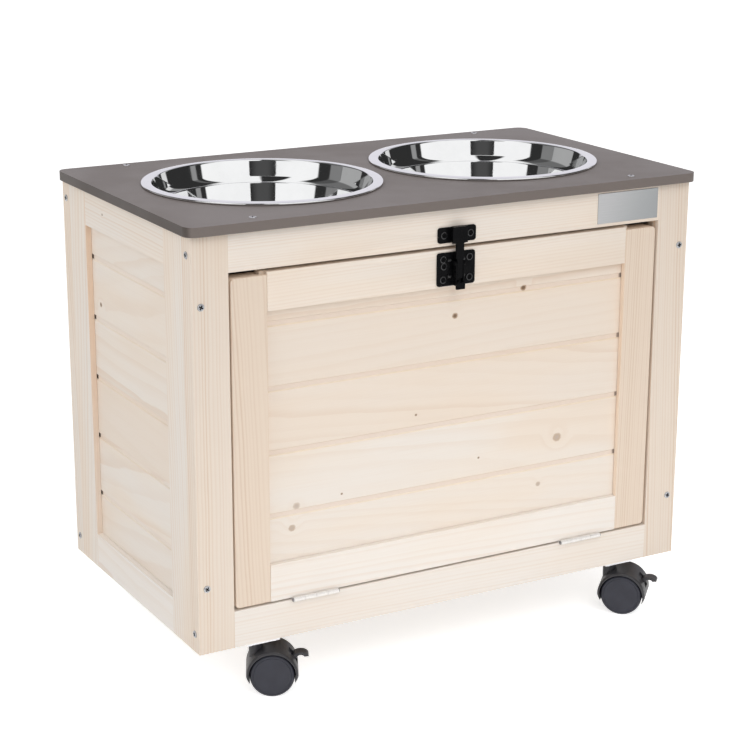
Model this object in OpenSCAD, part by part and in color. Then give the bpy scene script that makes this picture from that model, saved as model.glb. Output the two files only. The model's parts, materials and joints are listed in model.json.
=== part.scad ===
// Pet feeder stand: a panelled wooden cabinet on castors, with two lift-out bowls in its
// top plate, a drop-down flap on butt hinges and a toggle latch that holds the flap shut.
// Millimetres, Z up, X to the right as seen from the flap, and the flap faces -Y.
// The origin is on the floor, under the middle of the cabinet.

/* [Cabinet] */
// Width of the wooden cabinet
cabinet_w = 600; // [575:1:680]
// Depth of the wooden cabinet
cabinet_d = 340; // [320:1:400]
// Height of the wooden cabinet, without castors and top plate
cabinet_h = 436; // [400:1:480]
// Thickness of every frame board
board_t = 20; // [18.5:0.5:24]
// Width of the boards of the front, back and flap frames, and of every rail
board_w = 40; // [37:1:46]
// Width of the upright boards of the side frames
side_stile_w = 45; // [38:1:55]
// Thickness of the floor panel
floor_t = 8; // [5:0.5:12]
// Gap between the floor panel and the walls around it
floor_gap = 0.5; // [0.2:0.1:1.5]
// Thickness of the battens under the floor panel
batten_t = 18; // [16:1:24]
// Width of the battens under the floor panel
batten_w = 80; // [60:1:110]

/* [Planks] */
// Face height of one plank
plank_h = 68; // [52:1:90]
// Thickness of a plank
plank_t = 10; // [8:0.5:11]
// How far a plank lies behind the face of its frame
plank_recess = 6.5; // [4:0.5:7]
// How far a plank reaches into the grooves of its frame
plank_lap = 6; // [4:0.5:9]
// Clearance around a plank in its groove
groove_clear = 0.2; // [0.1:0.05:0.4]
// Gap between two planks behind the cut along their joint
plank_gap = 0.2; // [0.2:0.1:0.8]
// Depth of the cut along a plank joint, and height of its two slopes
vee = 1.25; // [1:0.25:3]
// Height of the flat between the two slopes
joint_flat = 4; // [0:0.5:6]
// Thickness of a plank's tongue
tongue_t = 3; // [2:0.25:3.5]
// Length of a plank's tongue
tongue_l = 4; // [2:0.5:6]
// Height of the lowest joint of the walls above the cabinet's underside
wall_joint = 90.5; // [70:0.5:100]
// Height of the lowest joint of the flap above the flap's lower edge
flap_joint = 93; // [70:0.5:105]

/* [Top plate] */
// Thickness of the top plate
plate_t = 10; // [6:0.5:18]
// Overhang of the top plate at each side
plate_side = 6; // [0:0.5:20]
// Overhang of the top plate at the front
plate_front = 8; // [2:0.5:20]
// Overhang of the top plate at the back
plate_back = 2; // [0:0.5:20]
// Corner radius of the top plate
plate_corner = 12; // [4:1:30]
// Distance of the top plate's screws from the cabinet's sides
plate_screw_inset = 72; // [50:1:90]

/* [Bowls] */
// Diameter over the rim of a bowl
rim_d = 258; // [230:1:262]
// Width of the rim
rim_w = 11.5; // [8:0.5:16]
// Thickness of the rim at its outer edge
rim_t = 2.4; // [1.6:0.2:4]
// Gap between the rim and the top plate
rim_gap = 0.3; // [0.2:0.05:0.6]
// Depth of a bowl under the top plate's upper face
bowl_depth = 70; // [45:1:110]
// Radius of the flat floor of a bowl
bowl_floor_r = 84; // [60:1:90]
// Radius between the floor and the wall of a bowl
bowl_fillet = 18; // [8:1:24]
// Wall thickness of a bowl
bowl_wall = 1; // [0.6:0.1:2]
// Radius of the rim's inner edge
lip_r = 2.5; // [1.5:0.25:4]
// How much higher the rim is at its inner edge than at its outer edge
rim_rise = 0.5; // [0:0.1:1.5]
// Play between a bowl and its cut-out
bowl_play = 1; // [0.5:0.1:2]
// Distance between the centres of the two bowls
bowl_pitch = 277; // [268:1:300]

/* [Flap] */
// Gap between the flap and the front stiles
flap_side_gap = 2.5; // [1.5:0.5:4]
// Gap over the flap
flap_top_gap = 4; // [2:0.5:6]
// How far the flap's face lies behind the cabinet's face
flap_set_back = 1; // [0:0.25:2]
// How much lower the flap's stiles end than its top rail
stile_drop = 3; // [0:0.5:4]
// Radius of the flap's four outer corners
flap_corner = 4.5; // [1:0.5:8]

/* [Hinges] */
// Number of knuckles of a hinge
knuckles = 4; // [4:2:8]
// Length of a hinge
hinge_l = 53; // [40:1:70]
// Distance between the middles of the two hinges
hinge_pitch = 335; // [260:1:380]
// Gap under the flap, which holds the two leaves of each hinge
hinge_gap = 2; // [1.8:0.1:3]
// Thickness of a hinge leaf
leaf_t = 0.8; // [0.5:0.05:0.85]
// Depth of a hinge leaf behind the cabinet's face
leaf_d = 15; // [10:0.5:17]
// Distance of the hinge pin in front of the cabinet's face
pin_stand = 3; // [2.9:0.1:4]
// Radius of the hinge knuckles
knuckle_r = 2.6; // [2.2:0.1:2.7]
// Radius of the hinge pin
pin_r = 1.3; // [0.8:0.1:1.6]
// Thickness of the pin's heads
pin_head_t = 0.8; // [0.5:0.1:1.5]
// Gap between two knuckles
knuckle_gap = 0.4; // [0.3:0.1:0.8]

/* [Latch] */
// Width of the latch's base plate and of its keeper plate
latch_w = 46; // [40:1:60]
// Height of the base plate
base_h = 35.6; // [33:0.2:37]
// Distance from the flap's upper edge to the base plate
base_drop = 2.8; // [1:0.1:3.5]
// Height of the keeper plate
keeper_h = 16.5; // [14:0.5:24]
// Distance from the rail's lower edge to the keeper plate
keeper_lift = 3.5; // [1:0.5:8]
// Thickness of the latch's two plates
latch_plate_t = 1.5; // [1:0.1:2]
// Corner radius of the latch's two plates
latch_corner = 3; // [1:0.5:5]
// Distance of the latch's screws from the ends of its plates
latch_screw_inset = 7; // [5:0.5:8]
// How far the keeper's catch stands in front of the cabinet's face
catch_stand = 6; // [5.5:0.1:8]
// Width of the keeper's catch
catch_w = 14; // [10:0.5:18]
// Distance from the keeper plate's upper and lower edges to its catch
catch_inset = 1.5; // [1:0.1:3]
// Width of the hook's head
hook_head_w = 18; // [15:0.5:22]
// Width of the hook's neck
hook_neck_w = 9.5; // [8:0.5:12]
// Thickness of the hook and of its claw
hook_t = 2; // [1.5:0.1:2.5]
// Width of the hook's strap between the cheeks of the lever
strap_w = 6.8; // [5:0.2:8]
// Thickness of the lever's cheeks and of the base plate's lugs
cheek_t = 1.2; // [1:0.1:1.6]
// Half width of the lever's cheeks
cheek_r = 2.6; // [2.3:0.1:3]
// Distance from the upper edge of the base plate to the lever's pivot
pivot_drop = 11.2; // [9:0.2:13]
// Distance from the lever's pivot to the hook's pivot
lever_throw = 15; // [13:0.5:16]
// How far the hook's pivot lies behind the back of its strap
hook_pivot_inset = 0.8; // [0.5:0.1:1]
// How far the lever's pivot lies in front of the hook's pivot
lever_pivot_stand = 0.5; // [0.2:0.1:0.8]
// Length of the lever below the hook's pivot
lever_tail = 12; // [11:0.5:16]
// Distance from the hook's pivot down to the lever's handle
handle_gap = 5; // [4:0.5:6]
// Radius of the latch's pivots
pivot_r = 1.2; // [1:0.05:1.3]
// Wall of the hook's barrel around its pivot
barrel_wall = 1; // [0.8:0.1:1.2]
// Side gap between the moving pieces of the latch
latch_side_gap = 0.5; // [0.3:0.1:0.8]
// Gap between the hook and the keeper
latch_clear = 0.3; // [0.2:0.05:0.6]

/* [Label] */
// Width of the blank label plate
label_w = 79.5; // [40:0.5:110]
// Height of the blank label plate
label_h = 33; // [15:0.5:35]
// Thickness of the blank label plate
label_t = 0.8; // [0.4:0.1:1.5]
// Distance from the rail's right end to the label plate
label_inset = 2.5; // [0:0.5:20]

/* [Screws] */
// Radius of a screw's shank
screw_r = 1.75; // [1.4:0.05:2]
// Radius of a screw's head
screw_head_r = 3.8; // [2.6:0.1:4]
// Height of a screw's head
screw_head_h = 0.9; // [0.6:0.1:1.5]
// Length of the screws through the front and back stiles
stile_screw_l = 45; // [35:1:55]
// Length of the screws through the side edges of the frames
rail_screw_l = 56; // [50:1:60]
// Length of the top plate's screws under the plate
plate_screw_l = 15; // [10:1:16]
// Length of the castor screws above the castor plates
castor_screw_l = 13; // [8:1:15]
// Length of the latch's screws behind its plates
latch_screw_l = 10; // [6:1:12]
// Radius of the latch screws' shanks
latch_screw_r = 1.3; // [1:0.05:1.5]
// Radius of the latch screws' heads
latch_head_r = 4; // [2:0.1:4.5]
// Play of a screw in its hole
screw_play = 0.05; // [0.02:0.01:0.1]
// Distance of the stile screws from the ends of the stiles
stile_screw_inset = 71; // [60:1:90]

/* [Castors] */
// Height from the floor to the cabinet's underside
castor_h = 62; // [57:0.5:70]
// Diameter of a castor wheel
wheel_d = 47; // [40:0.5:48]
// Width of one of the two wheels
wheel_w = 18.5; // [14:0.5:22]
// Rounding of a wheel's edges
wheel_round = 2.5; // [1:0.25:4]
// Height of the dome of a wheel's outer face
wheel_dome = 0.8; // [0:0.1:1.5]
// Distance from the swivel axis to the axle
trail = 17; // [16:0.5:21]
// Distance of the swivel axes from the cabinet's sides
castor_side = 73; // [55:1:90]
// Distance of the swivel axes from the cabinet's front and back faces
castor_depth = 20; // [20:0.5:40]
// Rest angle of the front left castor's wheels about the swivel axis
left_turn = -26; // [-180:1:180]
// Rest angle of the front right castor's wheels about the swivel axis
right_turn = -44; // [-180:1:180]
// Rest angle of the back left castor's wheels about the swivel axis
back_left_turn = 24; // [-180:1:180]
// Rest angle of the back right castor's wheels about the swivel axis
back_right_turn = 40; // [-180:1:180]
// Radius of an axle
axle_r = 3; // [2:0.25:4]
// Wall thickness of a hood
hood_t = 2.7; // [2:0.1:3.5]
// Gap between a wheel and its hood
hood_gap = 1.1; // [0.6:0.1:1.5]
// Width of a hood
hood_w = 45; // [30:1:46]
// How far a hood reaches below its axle
hood_drop = 8; // [2:0.5:9]
// Thickness of the web between the two wheels
web_t = 5; // [4:0.5:7]
// Wall of the web's boss around the axle
boss_wall = 4; // [2.5:0.5:6]
// Side gap between a wheel and the web
wheel_gap = 0.4; // [0.3:0.1:0.8]
// Thickness of the cap over the outer end of an axle
wheel_cap_t = 3.5; // [2:0.5:5]
// Radius of a hood's neck
neck_r = 8; // [7.5:0.25:9]
// Radius of a kingpin
kingpin_r = 4; // [3:0.25:4.5]
// How far a kingpin's head stands out around the pin
kingpin_head_edge = 1.6; // [1:0.1:2]
// Thickness of a kingpin's head
kingpin_head_t = 2.2; // [1.5:0.1:3]
// Wall between a kingpin's head and the wheels
kingpin_wall = 1.2; // [0.8:0.1:2]
// Side length of a castor plate
castor_plate_w = 38; // [36:1:40]
// Thickness of a castor plate
castor_plate_t = 2; // [1.5:0.1:3]
// Distance between the screws of a castor plate
castor_screw_pitch = 28; // [26:0.5:29]
// Gap between a castor plate and the neck under it
swivel_gap = 0.4; // [0.3:0.1:0.6]
// Clearance of a pin in its bore
run_clear = 0.05; // [0.02:0.01:0.08]

/* [Brakes] */
// Width of a brake pedal
pedal_w = 12; // [9:0.5:16]
// Distance from the axle to the pedal's pivot
pedal_pivot_r = 29; // [28.8:0.1:30]
// Angle of the pedal's pivot above the axle
pedal_angle = 33; // [25:1:40]
// Travel of the pedal from free to locked
pedal_travel = 20; // [10:1:25]
// Outer radius of the pedal's arched tread
pedal_arch_r = 8.5; // [7.5:0.25:11]
// Thickness of the pedal's tread
pedal_t = 4; // [2.5:0.25:4]
// Angle on the arch at which the tread leaves its barrel
pedal_start = 160; // [145:1:165]
// Angle on the arch at which the tread ends
pedal_end = 10; // [0:1:30]
// Radius of the pedal's barrel
pedal_barrel_r = 2.4; // [2:0.1:2.6]
// Radius of the trunnions that the pedal turns on
trunnion_r = 1.2; // [0.8:0.1:1.4]
// Length of a trunnion in its ear
trunnion_l = 1.6; // [1:0.1:2]
// Width of an ear beside the pedal
ear_w = 2.6; // [2.2:0.1:4]
// Wall of an ear around its trunnion
ear_wall = 1.8; // [1.2:0.1:2]
// How much narrower the cam is than the pedal at each side
cam_edge = 1; // [0.5:0.25:2]
// Gap around the pedal
pedal_gap = 0.4; // [0.3:0.05:0.6]
// Gap between the locked pedal's cam and the wheels
cam_gap = 0.5; // [0.3:0.1:0.8]

/* [Hidden] */
$fn = 64;
eps = 0.01;
over = 1;

front_y = -cabinet_d / 2;
back_y = cabinet_d / 2;
side_x = cabinet_w / 2;
cabinet_top = castor_h + cabinet_h;
plate_top = cabinet_top + plate_t;
inside_d = cabinet_d - 2 * board_t;

// The front opening and the flap in it
rail_low = cabinet_top - board_w;
sill = castor_h + board_w;
flap_low = sill + hinge_gap;
flap_high = rail_low - flap_top_gap;
flap_h = flap_high - flap_low;
flap_w = cabinet_w - 2 * board_w - 2 * flap_side_gap;
flap_face = front_y + flap_set_back;

// Grooves that hold the planks
groove_y = plank_recess - groove_clear;
groove_w = plank_t + 2 * groove_clear;
groove_d = plank_lap + groove_clear;

// Bowls
rim_r = rim_d / 2;
mouth_r = rim_r - rim_w;
hole_r = mouth_r + bowl_wall + bowl_play;

// Hinges
pin_y = front_y - pin_stand;
pin_z = sill + hinge_gap / 2;
knuckle_l = hinge_l / knuckles;

// Latch, from the keeper's catch forwards
keeper_low = rail_low + keeper_lift;
keeper_high = keeper_low + keeper_h;
strap_back = front_y - catch_stand - latch_clear;
strap_front = strap_back - hook_t;
base_high = flap_high - base_drop;
base_low = base_high - base_h;
hook_pivot_z = base_high - pivot_drop - lever_throw;
hook_pivot_y = strap_back + hook_pivot_inset;
lever_pivot_z = base_high - pivot_drop;
lever_pivot_y = hook_pivot_y - lever_pivot_stand;
barrel_r = pivot_r + barrel_wall;
cheek_in = strap_w / 2 + latch_side_gap;
cheek_out = cheek_in + cheek_t;
lug_in = cheek_out + latch_side_gap;
lug_out = lug_in + cheek_t;
claw_z = keeper_high - catch_inset + latch_clear;

// Castors: place and rest angle of each, front pair then back pair
wheel_r = wheel_d / 2;
castor_x = side_x - castor_side;
castor_y = cabinet_d / 2 - castor_depth;
CASTORS = [[-castor_x, -castor_y, left_turn], [castor_x, -castor_y, right_turn],
           [-castor_x, castor_y, back_left_turn], [castor_x, castor_y, back_right_turn]];
hood_in = wheel_r + hood_gap;
hood_out = hood_in + hood_t;
neck_top = castor_h - castor_plate_t - swivel_gap;
wheel_in = web_t / 2 + wheel_gap;
wheel_out = wheel_in + wheel_w;
axle_end = wheel_out - wheel_cap_t;
kingpin_head_r = kingpin_r + kingpin_head_edge;
recess_r = kingpin_head_r + swivel_gap;
recess_low = wheel_r + sqrt(hood_in ^ 2 - max(trail - recess_r, 0) ^ 2) + kingpin_wall;
kingpin_head_low = recess_low + swivel_gap;
pedal_x = trail + pedal_pivot_r * cos(pedal_angle);
pedal_z = wheel_r + pedal_pivot_r * sin(pedal_angle);
cam_l = pedal_pivot_r - wheel_r - cam_gap;

// Colours
spruce = "#EBDDCA";
taupe = "#7E7570";
steel = "#C9CBCD";
zinc = "#B5B6B8";
black = "#1E1E20";
charcoal = "#3A3A3E";
alu = "#BFC2C5";
birch = "#D9C5A6";

// Points of an arc, in the plane
function arc(x, y, r, from, to, steps = 8) =
    [for (i = [0:steps]) let (a = from + (to - from) * i / steps) [x + r * cos(a), y + r * sin(a)]];

// A box between two corners
module box(low, high) {
    translate(low) cube(high - low);
}

// A cylinder along X, or along Y, between two places
module rod_x(from, to, y, z, r) {
    translate([from, y, z]) rotate([0, 90, 0]) cylinder(r = r, h = to - from);
}

module rod_y(from, to, x, z, r) {
    translate([x, from, z]) rotate([-90, 0, 0]) cylinder(r = r, h = to - from);
}

// An upright plate in the XZ plane with rounded corners, whose back lies at y
module rounded_plate(width, low, high, y, thickness, r) {
    w = width / 2;
    box([-w + r, y - thickness, low], [w - r, y, high]);
    box([-w, y - thickness, low + r], [w, y, high - r]);
    for (x = [-w + r, w - r], z = [low + r, high - r]) rod_y(y - thickness, y, x, z, r);
}

// Screws: the head lies on z = 0 and the shank points down
module screw(length, r = screw_r, head_r = screw_head_r) {
    cylinder(r = head_r, h = screw_head_h);
    translate([0, 0, -length]) cylinder(r = r, h = length + eps);
}

module screw_hole(length, r = screw_r) {
    translate([0, 0, -length - screw_play]) cylinder(r = r + screw_play, h = length + screw_play + over);
}

// Places of the screws through the front and back stiles into the side frames
module at_stile_screws() {
    for (front = [-1, 1], x = [-1, 1], z = [stile_screw_inset, cabinet_h - stile_screw_inset])
        translate([x * (side_x - board_t / 2), front * cabinet_d / 2, castor_h + z])
            rotate([-front * 90, 0, 0]) children();
}

// Places of the screws through the side edges of the stiles into the rails
module at_rail_screws() {
    for (side = [-1, 1], y = [-1, 1], z = [board_w / 2, cabinet_h - board_w / 2])
        translate([side * side_x, y * (cabinet_d - board_t) / 2, castor_h + z])
            rotate([0, side * 90, 0]) children();
}

// Places of the top plate's screws
module at_plate_screws() {
    for (x = [-1, 1], y = [-1, 1])
        translate([x * (side_x - plate_screw_inset), y * (cabinet_d - board_t) / 2, plate_top]) children();
}

// Places of the castor screws
module at_castor_screws() {
    p = castor_screw_pitch / 2;
    for (c = CASTORS, x = [-p, p], y = [-p, p])
        translate([c[0] + x, c[1] + y, castor_h - castor_plate_t]) rotate([180, 0, 0]) children();
}

// Places of the screws of the latch's two plates
module at_keeper_screws() {
    for (x = [-1, 1])
        translate([x * (latch_w / 2 - latch_screw_inset), front_y - latch_plate_t, keeper_low + keeper_h / 2])
            rotate([90, 0, 0]) children();
}

module at_base_screws() {
    for (x = [-1, 1], z = [base_low + latch_screw_inset, base_high - latch_screw_inset])
        translate([x * (latch_w / 2 - latch_screw_inset), flap_face - latch_plate_t, z])
            rotate([90, 0, 0]) children();
}

// Holes for the screws of the frames, the top plate, the castors and the latch
module drilled() {
    difference() {
        children();
        at_stile_screws() screw_hole(stile_screw_l);
        at_rail_screws() screw_hole(rail_screw_l);
        at_plate_screws() screw_hole(plate_t + plate_screw_l);
    }
}

module castor_drilled() {
    difference() {
        children();
        at_castor_screws() screw_hole(castor_plate_t + castor_screw_l);
    }
}

module keeper_drilled() {
    difference() {
        children();
        at_keeper_screws() screw_hole(latch_plate_t + latch_screw_l, latch_screw_r);
    }
}

module base_drilled() {
    difference() {
        children();
        at_base_screws() screw_hole(latch_plate_t + latch_screw_l, latch_screw_r);
    }
}

// Framed walls. A wall stands in its own frame: x along it, its outer face at y = 0, its foot at z = 0
module wall_stile(wall_w, height, stile_w, side) {
    mirror([side > 0 ? 1 : 0, 0, 0]) translate([-wall_w / 2, 0, 0]) difference() {
        cube([stile_w, board_t, height]);
        translate([stile_w - groove_d, groove_y, -over]) cube([groove_d + over, groove_w, height + 2 * over]);
    }
}

// A rail with a stub tenon at each end. Its groove is in its upper or its lower edge
module wall_rail(wall_w, stile_w, low, groove_up) {
    l = wall_w / 2 - stile_w;
    groove_low = groove_up ? low + board_w - groove_d : low - over;
    difference() {
        union() {
            box([-l, 0, low], [l, board_t, low + board_w]);
            box([-l - plank_lap, plank_recess, low], [l + plank_lap, plank_recess + plank_t, low + board_w]);
        }
        box([-l - plank_lap - over, groove_y, groove_low],
            [l + plank_lap + over, groove_y + groove_w, groove_low + groove_d + over]);
    }
}

// Outline of one plank: a cut with two slopes and a flat at each joint, a tongue above and a groove below
function plank_outline(low, high, joint_below, joint_above) = let (
    m = plank_t / 2,
    a = m - tongue_t / 2,
    b = m + tongue_t / 2,
    c = groove_clear,
    z0 = joint_below ? low + plank_gap / 2 : low,
    z1 = joint_above ? high - plank_gap / 2 : high
) concat(
    joint_below ? [[vee, z0], [0, z0 + vee]] : [[0, z0]],
    joint_above ? [[0, z1 - vee - joint_flat], [vee, z1 - joint_flat], [vee, z1]] : [[0, z1]],
    joint_above ? [[a, z1], [a, z1 + tongue_l], [b, z1 + tongue_l], [b, z1]] : [],
    [[plank_t, z1], [plank_t, z0]],
    joint_below ? [[b + c, z0], [b + c, z0 + tongue_l + c], [a - c, z0 + tongue_l + c], [a - c, z0]] : []
);

// The planks of a wall, each a solid of its own
module wall_planks(wall_w, stile_w, wall_h, first_joint) {
    l = wall_w / 2 - stile_w + plank_lap;
    low = board_w - plank_lap;
    high = wall_h - board_w + plank_lap;
    least = 2 * tongue_l + 2 * vee + joint_flat;
    joints = [for (z = [first_joint:plank_h:high - least]) if (z > low + least) z];
    edges = concat([low], joints, [high]);
    for (i = [0:len(edges) - 2])
        translate([-l, plank_recess, 0]) rotate([90, 0, 90]) linear_extrude(2 * l)
            polygon(plank_outline(edges[i], edges[i + 1], i > 0, i < len(edges) - 2));
}

module on_left() {
    translate([-side_x, 0, castor_h]) rotate([0, 0, -90]) children();
}

module on_right() {
    translate([side_x, 0, castor_h]) rotate([0, 0, 90]) children();
}

module on_back() {
    translate([0, back_y, castor_h]) rotate([0, 0, 180]) children();
}

module on_flap() {
    translate([0, flap_face, flap_low]) children();
}

// Front frame
module front_stile(side) {
    color(spruce) drilled()
        box([side < 0 ? -side_x : side_x - board_w, front_y, castor_h],
            [side < 0 ? -side_x + board_w : side_x, front_y + board_t, cabinet_top]);
}

module front_top_rail() {
    color(spruce) keeper_drilled() drilled()
        box([-side_x + board_w, front_y, rail_low], [side_x - board_w, front_y + board_t, cabinet_top]);
}

module front_bottom_rail() {
    color(spruce) castor_drilled() drilled()
        box([-side_x + board_w, front_y, castor_h], [side_x - board_w, front_y + board_t, sill]);
}

// Back frame
module back_stile(side) {
    color(spruce) drilled() on_back() wall_stile(cabinet_w, cabinet_h, board_w, -side);
}

module back_top_rail() {
    color(spruce) drilled() on_back() wall_rail(cabinet_w, board_w, cabinet_h - board_w, false);
}

module back_bottom_rail() {
    color(spruce) castor_drilled() drilled() on_back() wall_rail(cabinet_w, board_w, 0, true);
}

module back_planks() {
    color(spruce) on_back() wall_planks(cabinet_w, board_w, cabinet_h, wall_joint);
}

// Side frames
module side_stile(side) {
    color(spruce) wall_stile(inside_d, cabinet_h, side_stile_w, side);
}

module side_top_rail() {
    color(spruce) wall_rail(inside_d, side_stile_w, cabinet_h - board_w, false);
}

module side_bottom_rail() {
    color(spruce) wall_rail(inside_d, side_stile_w, 0, true);
}

module side_planks() {
    color(spruce) wall_planks(inside_d, side_stile_w, cabinet_h, wall_joint);
}

// Floor of the storage space
module floor_panel() {
    x = side_x - board_t - floor_gap;
    y = inside_d / 2 - floor_gap;
    z = castor_h + batten_t;
    color(birch) box([-x, -y, z], [x, y, z + floor_t]);
}

module floor_battens() {
    size = [batten_w, inside_d, batten_t];
    color(spruce) castor_drilled()
        for (x = [-castor_x, castor_x])
            translate([x - batten_w / 2, -inside_d / 2, castor_h]) cube(size);
}

// Top plate with its two cut-outs
module top_plate() {
    x = side_x + plate_side;
    low_y = front_y - plate_front;
    high_y = back_y + plate_back;
    r = plate_corner;
    color(taupe) drilled() difference() {
        union() {
            box([-x + r, low_y, cabinet_top], [x - r, high_y, plate_top]);
            box([-x, low_y + r, cabinet_top], [x, high_y - r, plate_top]);
            for (cx = [-x + r, x - r], cy = [low_y + r, high_y - r])
                translate([cx, cy, cabinet_top]) cylinder(r = r, h = plate_t);
        }
        for (cx = [-bowl_pitch / 2, bowl_pitch / 2])
            translate([cx, 0, cabinet_top - over]) cylinder(r = hole_r, h = plate_t + 2 * over);
    }
}

// Angle at which a straight wall from the point p leaves the arc around c with radius r, on its outer side
function wall_angle(p, c, r) = atan2(p[1] - c[1], p[0] - c[0]) - acos(r / norm(p - c));

// A bowl that hangs by its rim: the outline runs up the outside, over the rim and down the inside
module bowl(side) {
    bead = rim_t / 2;
    lip_z = rim_gap + rim_t + rim_rise - lip_r;
    centre = [bowl_floor_r, -bowl_depth + bowl_fillet];
    inner_fillet = bowl_fillet - bowl_wall;
    outer_edge = [mouth_r + bowl_wall, -bowl_wall];
    outer_angle = wall_angle(outer_edge, centre, bowl_fillet);
    inner_angle = wall_angle([mouth_r, lip_z], centre, inner_fillet);
    outline = concat(
        [[0, -bowl_depth]],
        arc(centre[0], centre[1], bowl_fillet, -90, outer_angle),
        [outer_edge, [outer_edge[0], rim_gap]],
        arc(rim_r - bead, rim_gap + bead, bead, -90, 90),
        arc(mouth_r + lip_r, lip_z, lip_r, 90, 180),
        arc(centre[0], centre[1], inner_fillet, inner_angle, -90),
        [[0, -bowl_depth + bowl_wall]]
    );
    color(steel) translate([side * bowl_pitch / 2, 0, plate_top]) rotate_extrude() polygon(outline);
}

// Blank label plate on the front top rail
module label_plate() {
    x = side_x - board_w - label_inset;
    z = (rail_low + cabinet_top - label_h) / 2;
    color(alu) box([x - label_w, front_y - label_t, z], [x, front_y, z + label_h]);
}

module frame_screws() {
    color(zinc) {
        at_stile_screws() screw(stile_screw_l);
        at_rail_screws() screw(rail_screw_l);
        at_plate_screws() screw(plate_t + plate_screw_l);
    }
}

// What is cut off a square corner at (x, z) to round it. The two ways point from the corner into the board
module corner_cut(x, z, way_x, way_z, r) {
    out = [x - way_x * over, z - way_z * over];
    mid = [x + way_x * r, z + way_z * r];
    difference() {
        box([min(out[0], mid[0]), front_y - over, min(out[1], mid[1])],
            [max(out[0], mid[0]), front_y + board_t + flap_set_back + over, max(out[1], mid[1])]);
        rod_y(front_y - 2 * over, front_y + board_t + flap_set_back + 2 * over, mid[0], mid[1], r);
    }
}

// Flap
module flap_stile(side) {
    x = side * flap_w / 2;
    color(spruce) difference() {
        on_flap() wall_stile(flap_w, flap_h - stile_drop, board_w, side);
        corner_cut(x, flap_low, -side, 1, flap_corner);
        corner_cut(x, flap_low + flap_h - stile_drop, -side, -1, flap_corner);
    }
}

module flap_top_rail() {
    color(spruce) base_drilled() on_flap() wall_rail(flap_w, board_w, flap_h - board_w, false);
}

module flap_bottom_rail() {
    color(spruce) on_flap() wall_rail(flap_w, board_w, 0, true);
}

module flap_planks() {
    color(spruce) on_flap() wall_planks(flap_w, board_w, flap_h, flap_joint);
}

// Hinges: every second knuckle belongs to the frame's leaf, and the others to the flap's leaf
module hinge_leaf(leaf_low, first) {
    face = front_y + max(flap_set_back, leaf_t / 2);
    difference() {
        union() {
            box([-hinge_l / 2, face, leaf_low], [hinge_l / 2, front_y + leaf_d, leaf_low + leaf_t]);
            for (i = [first:2:knuckles - 1]) {
                from = -hinge_l / 2 + i * knuckle_l + knuckle_gap / 2;
                to = from + knuckle_l - knuckle_gap;
                rod_x(from, to, pin_y, pin_z, knuckle_r);
                box([from, pin_y, leaf_low], [to, face + eps, leaf_low + leaf_t]);
            }
        }
        rod_x(-hinge_l, hinge_l, pin_y, pin_z, pin_r + run_clear);
    }
}

module at_hinges() {
    for (x = [-hinge_pitch / 2, hinge_pitch / 2]) translate([x, 0, 0]) children();
}

module hinge_frame_leaves() {
    color(zinc) at_hinges() hinge_leaf(sill, 0);
}

module hinge_flap_leaves() {
    color(zinc) at_hinges() hinge_leaf(flap_low - leaf_t, 1);
}

module hinge_pins() {
    half = hinge_l / 2;
    head_r = (pin_r + knuckle_r) / 2;
    color(zinc) at_hinges() {
        rod_x(-half - eps, half + eps, pin_y, pin_z, pin_r);
        rod_x(-half - pin_head_t, -half, pin_y, pin_z, head_r);
        rod_x(half, half + pin_head_t, pin_y, pin_z, head_r);
    }
}

// Latch: the keeper on the rail, the base plate on the flap, the lever on the base and the hook on the lever
module latch_keeper() {
    color(black) keeper_drilled() union() {
        rounded_plate(latch_w, keeper_low, keeper_high, front_y, latch_plate_t, latch_corner);
        box([-catch_w / 2, front_y - catch_stand, keeper_low + catch_inset],
            [catch_w / 2, front_y - latch_plate_t + eps, keeper_high - catch_inset]);
    }
}

module latch_keeper_screws() {
    color(black) at_keeper_screws() screw(latch_plate_t + latch_screw_l, latch_screw_r, latch_head_r);
}

module latch_base() {
    color(black) base_drilled() difference() {
        union() {
            rounded_plate(latch_w, base_low, base_high, flap_face, latch_plate_t, latch_corner);
            for (x = [-lug_out, lug_in]) {
                rod_x(x, x + cheek_t, lever_pivot_y, lever_pivot_z, cheek_r);
                box([x, lever_pivot_y, lever_pivot_z - cheek_r],
                    [x + cheek_t, flap_face - latch_plate_t + eps, lever_pivot_z + cheek_r]);
            }
        }
        rod_x(-lug_out - over, lug_out + over, lever_pivot_y, lever_pivot_z, pivot_r + run_clear);
    }
}

module latch_base_screws() {
    color(black) at_base_screws() screw(latch_plate_t + latch_screw_l, latch_screw_r, latch_head_r);
}

module latch_lever() {
    foot = hook_pivot_z - lever_tail;
    handle_top = hook_pivot_z - handle_gap;
    color(black) {
        for (x = [-cheek_out, cheek_in]) {
            rod_x(x, x + cheek_t, lever_pivot_y, lever_pivot_z, cheek_r);
            box([x, lever_pivot_y - cheek_r, (foot + handle_top) / 2],
                [x + cheek_t, lever_pivot_y + cheek_r, lever_pivot_z]);
        }
        box([-cheek_out, lever_pivot_y - cheek_r - hook_t, foot],
            [cheek_out, lever_pivot_y - cheek_r + cheek_t / 2, handle_top]);
        for (x = [-lug_out, cheek_out - eps])
            rod_x(x, x + lug_out - cheek_out + eps, lever_pivot_y, lever_pivot_z, pivot_r);
        rod_x(-cheek_in - eps, cheek_in + eps, hook_pivot_y, hook_pivot_z, pivot_r);
    }
}

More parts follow.
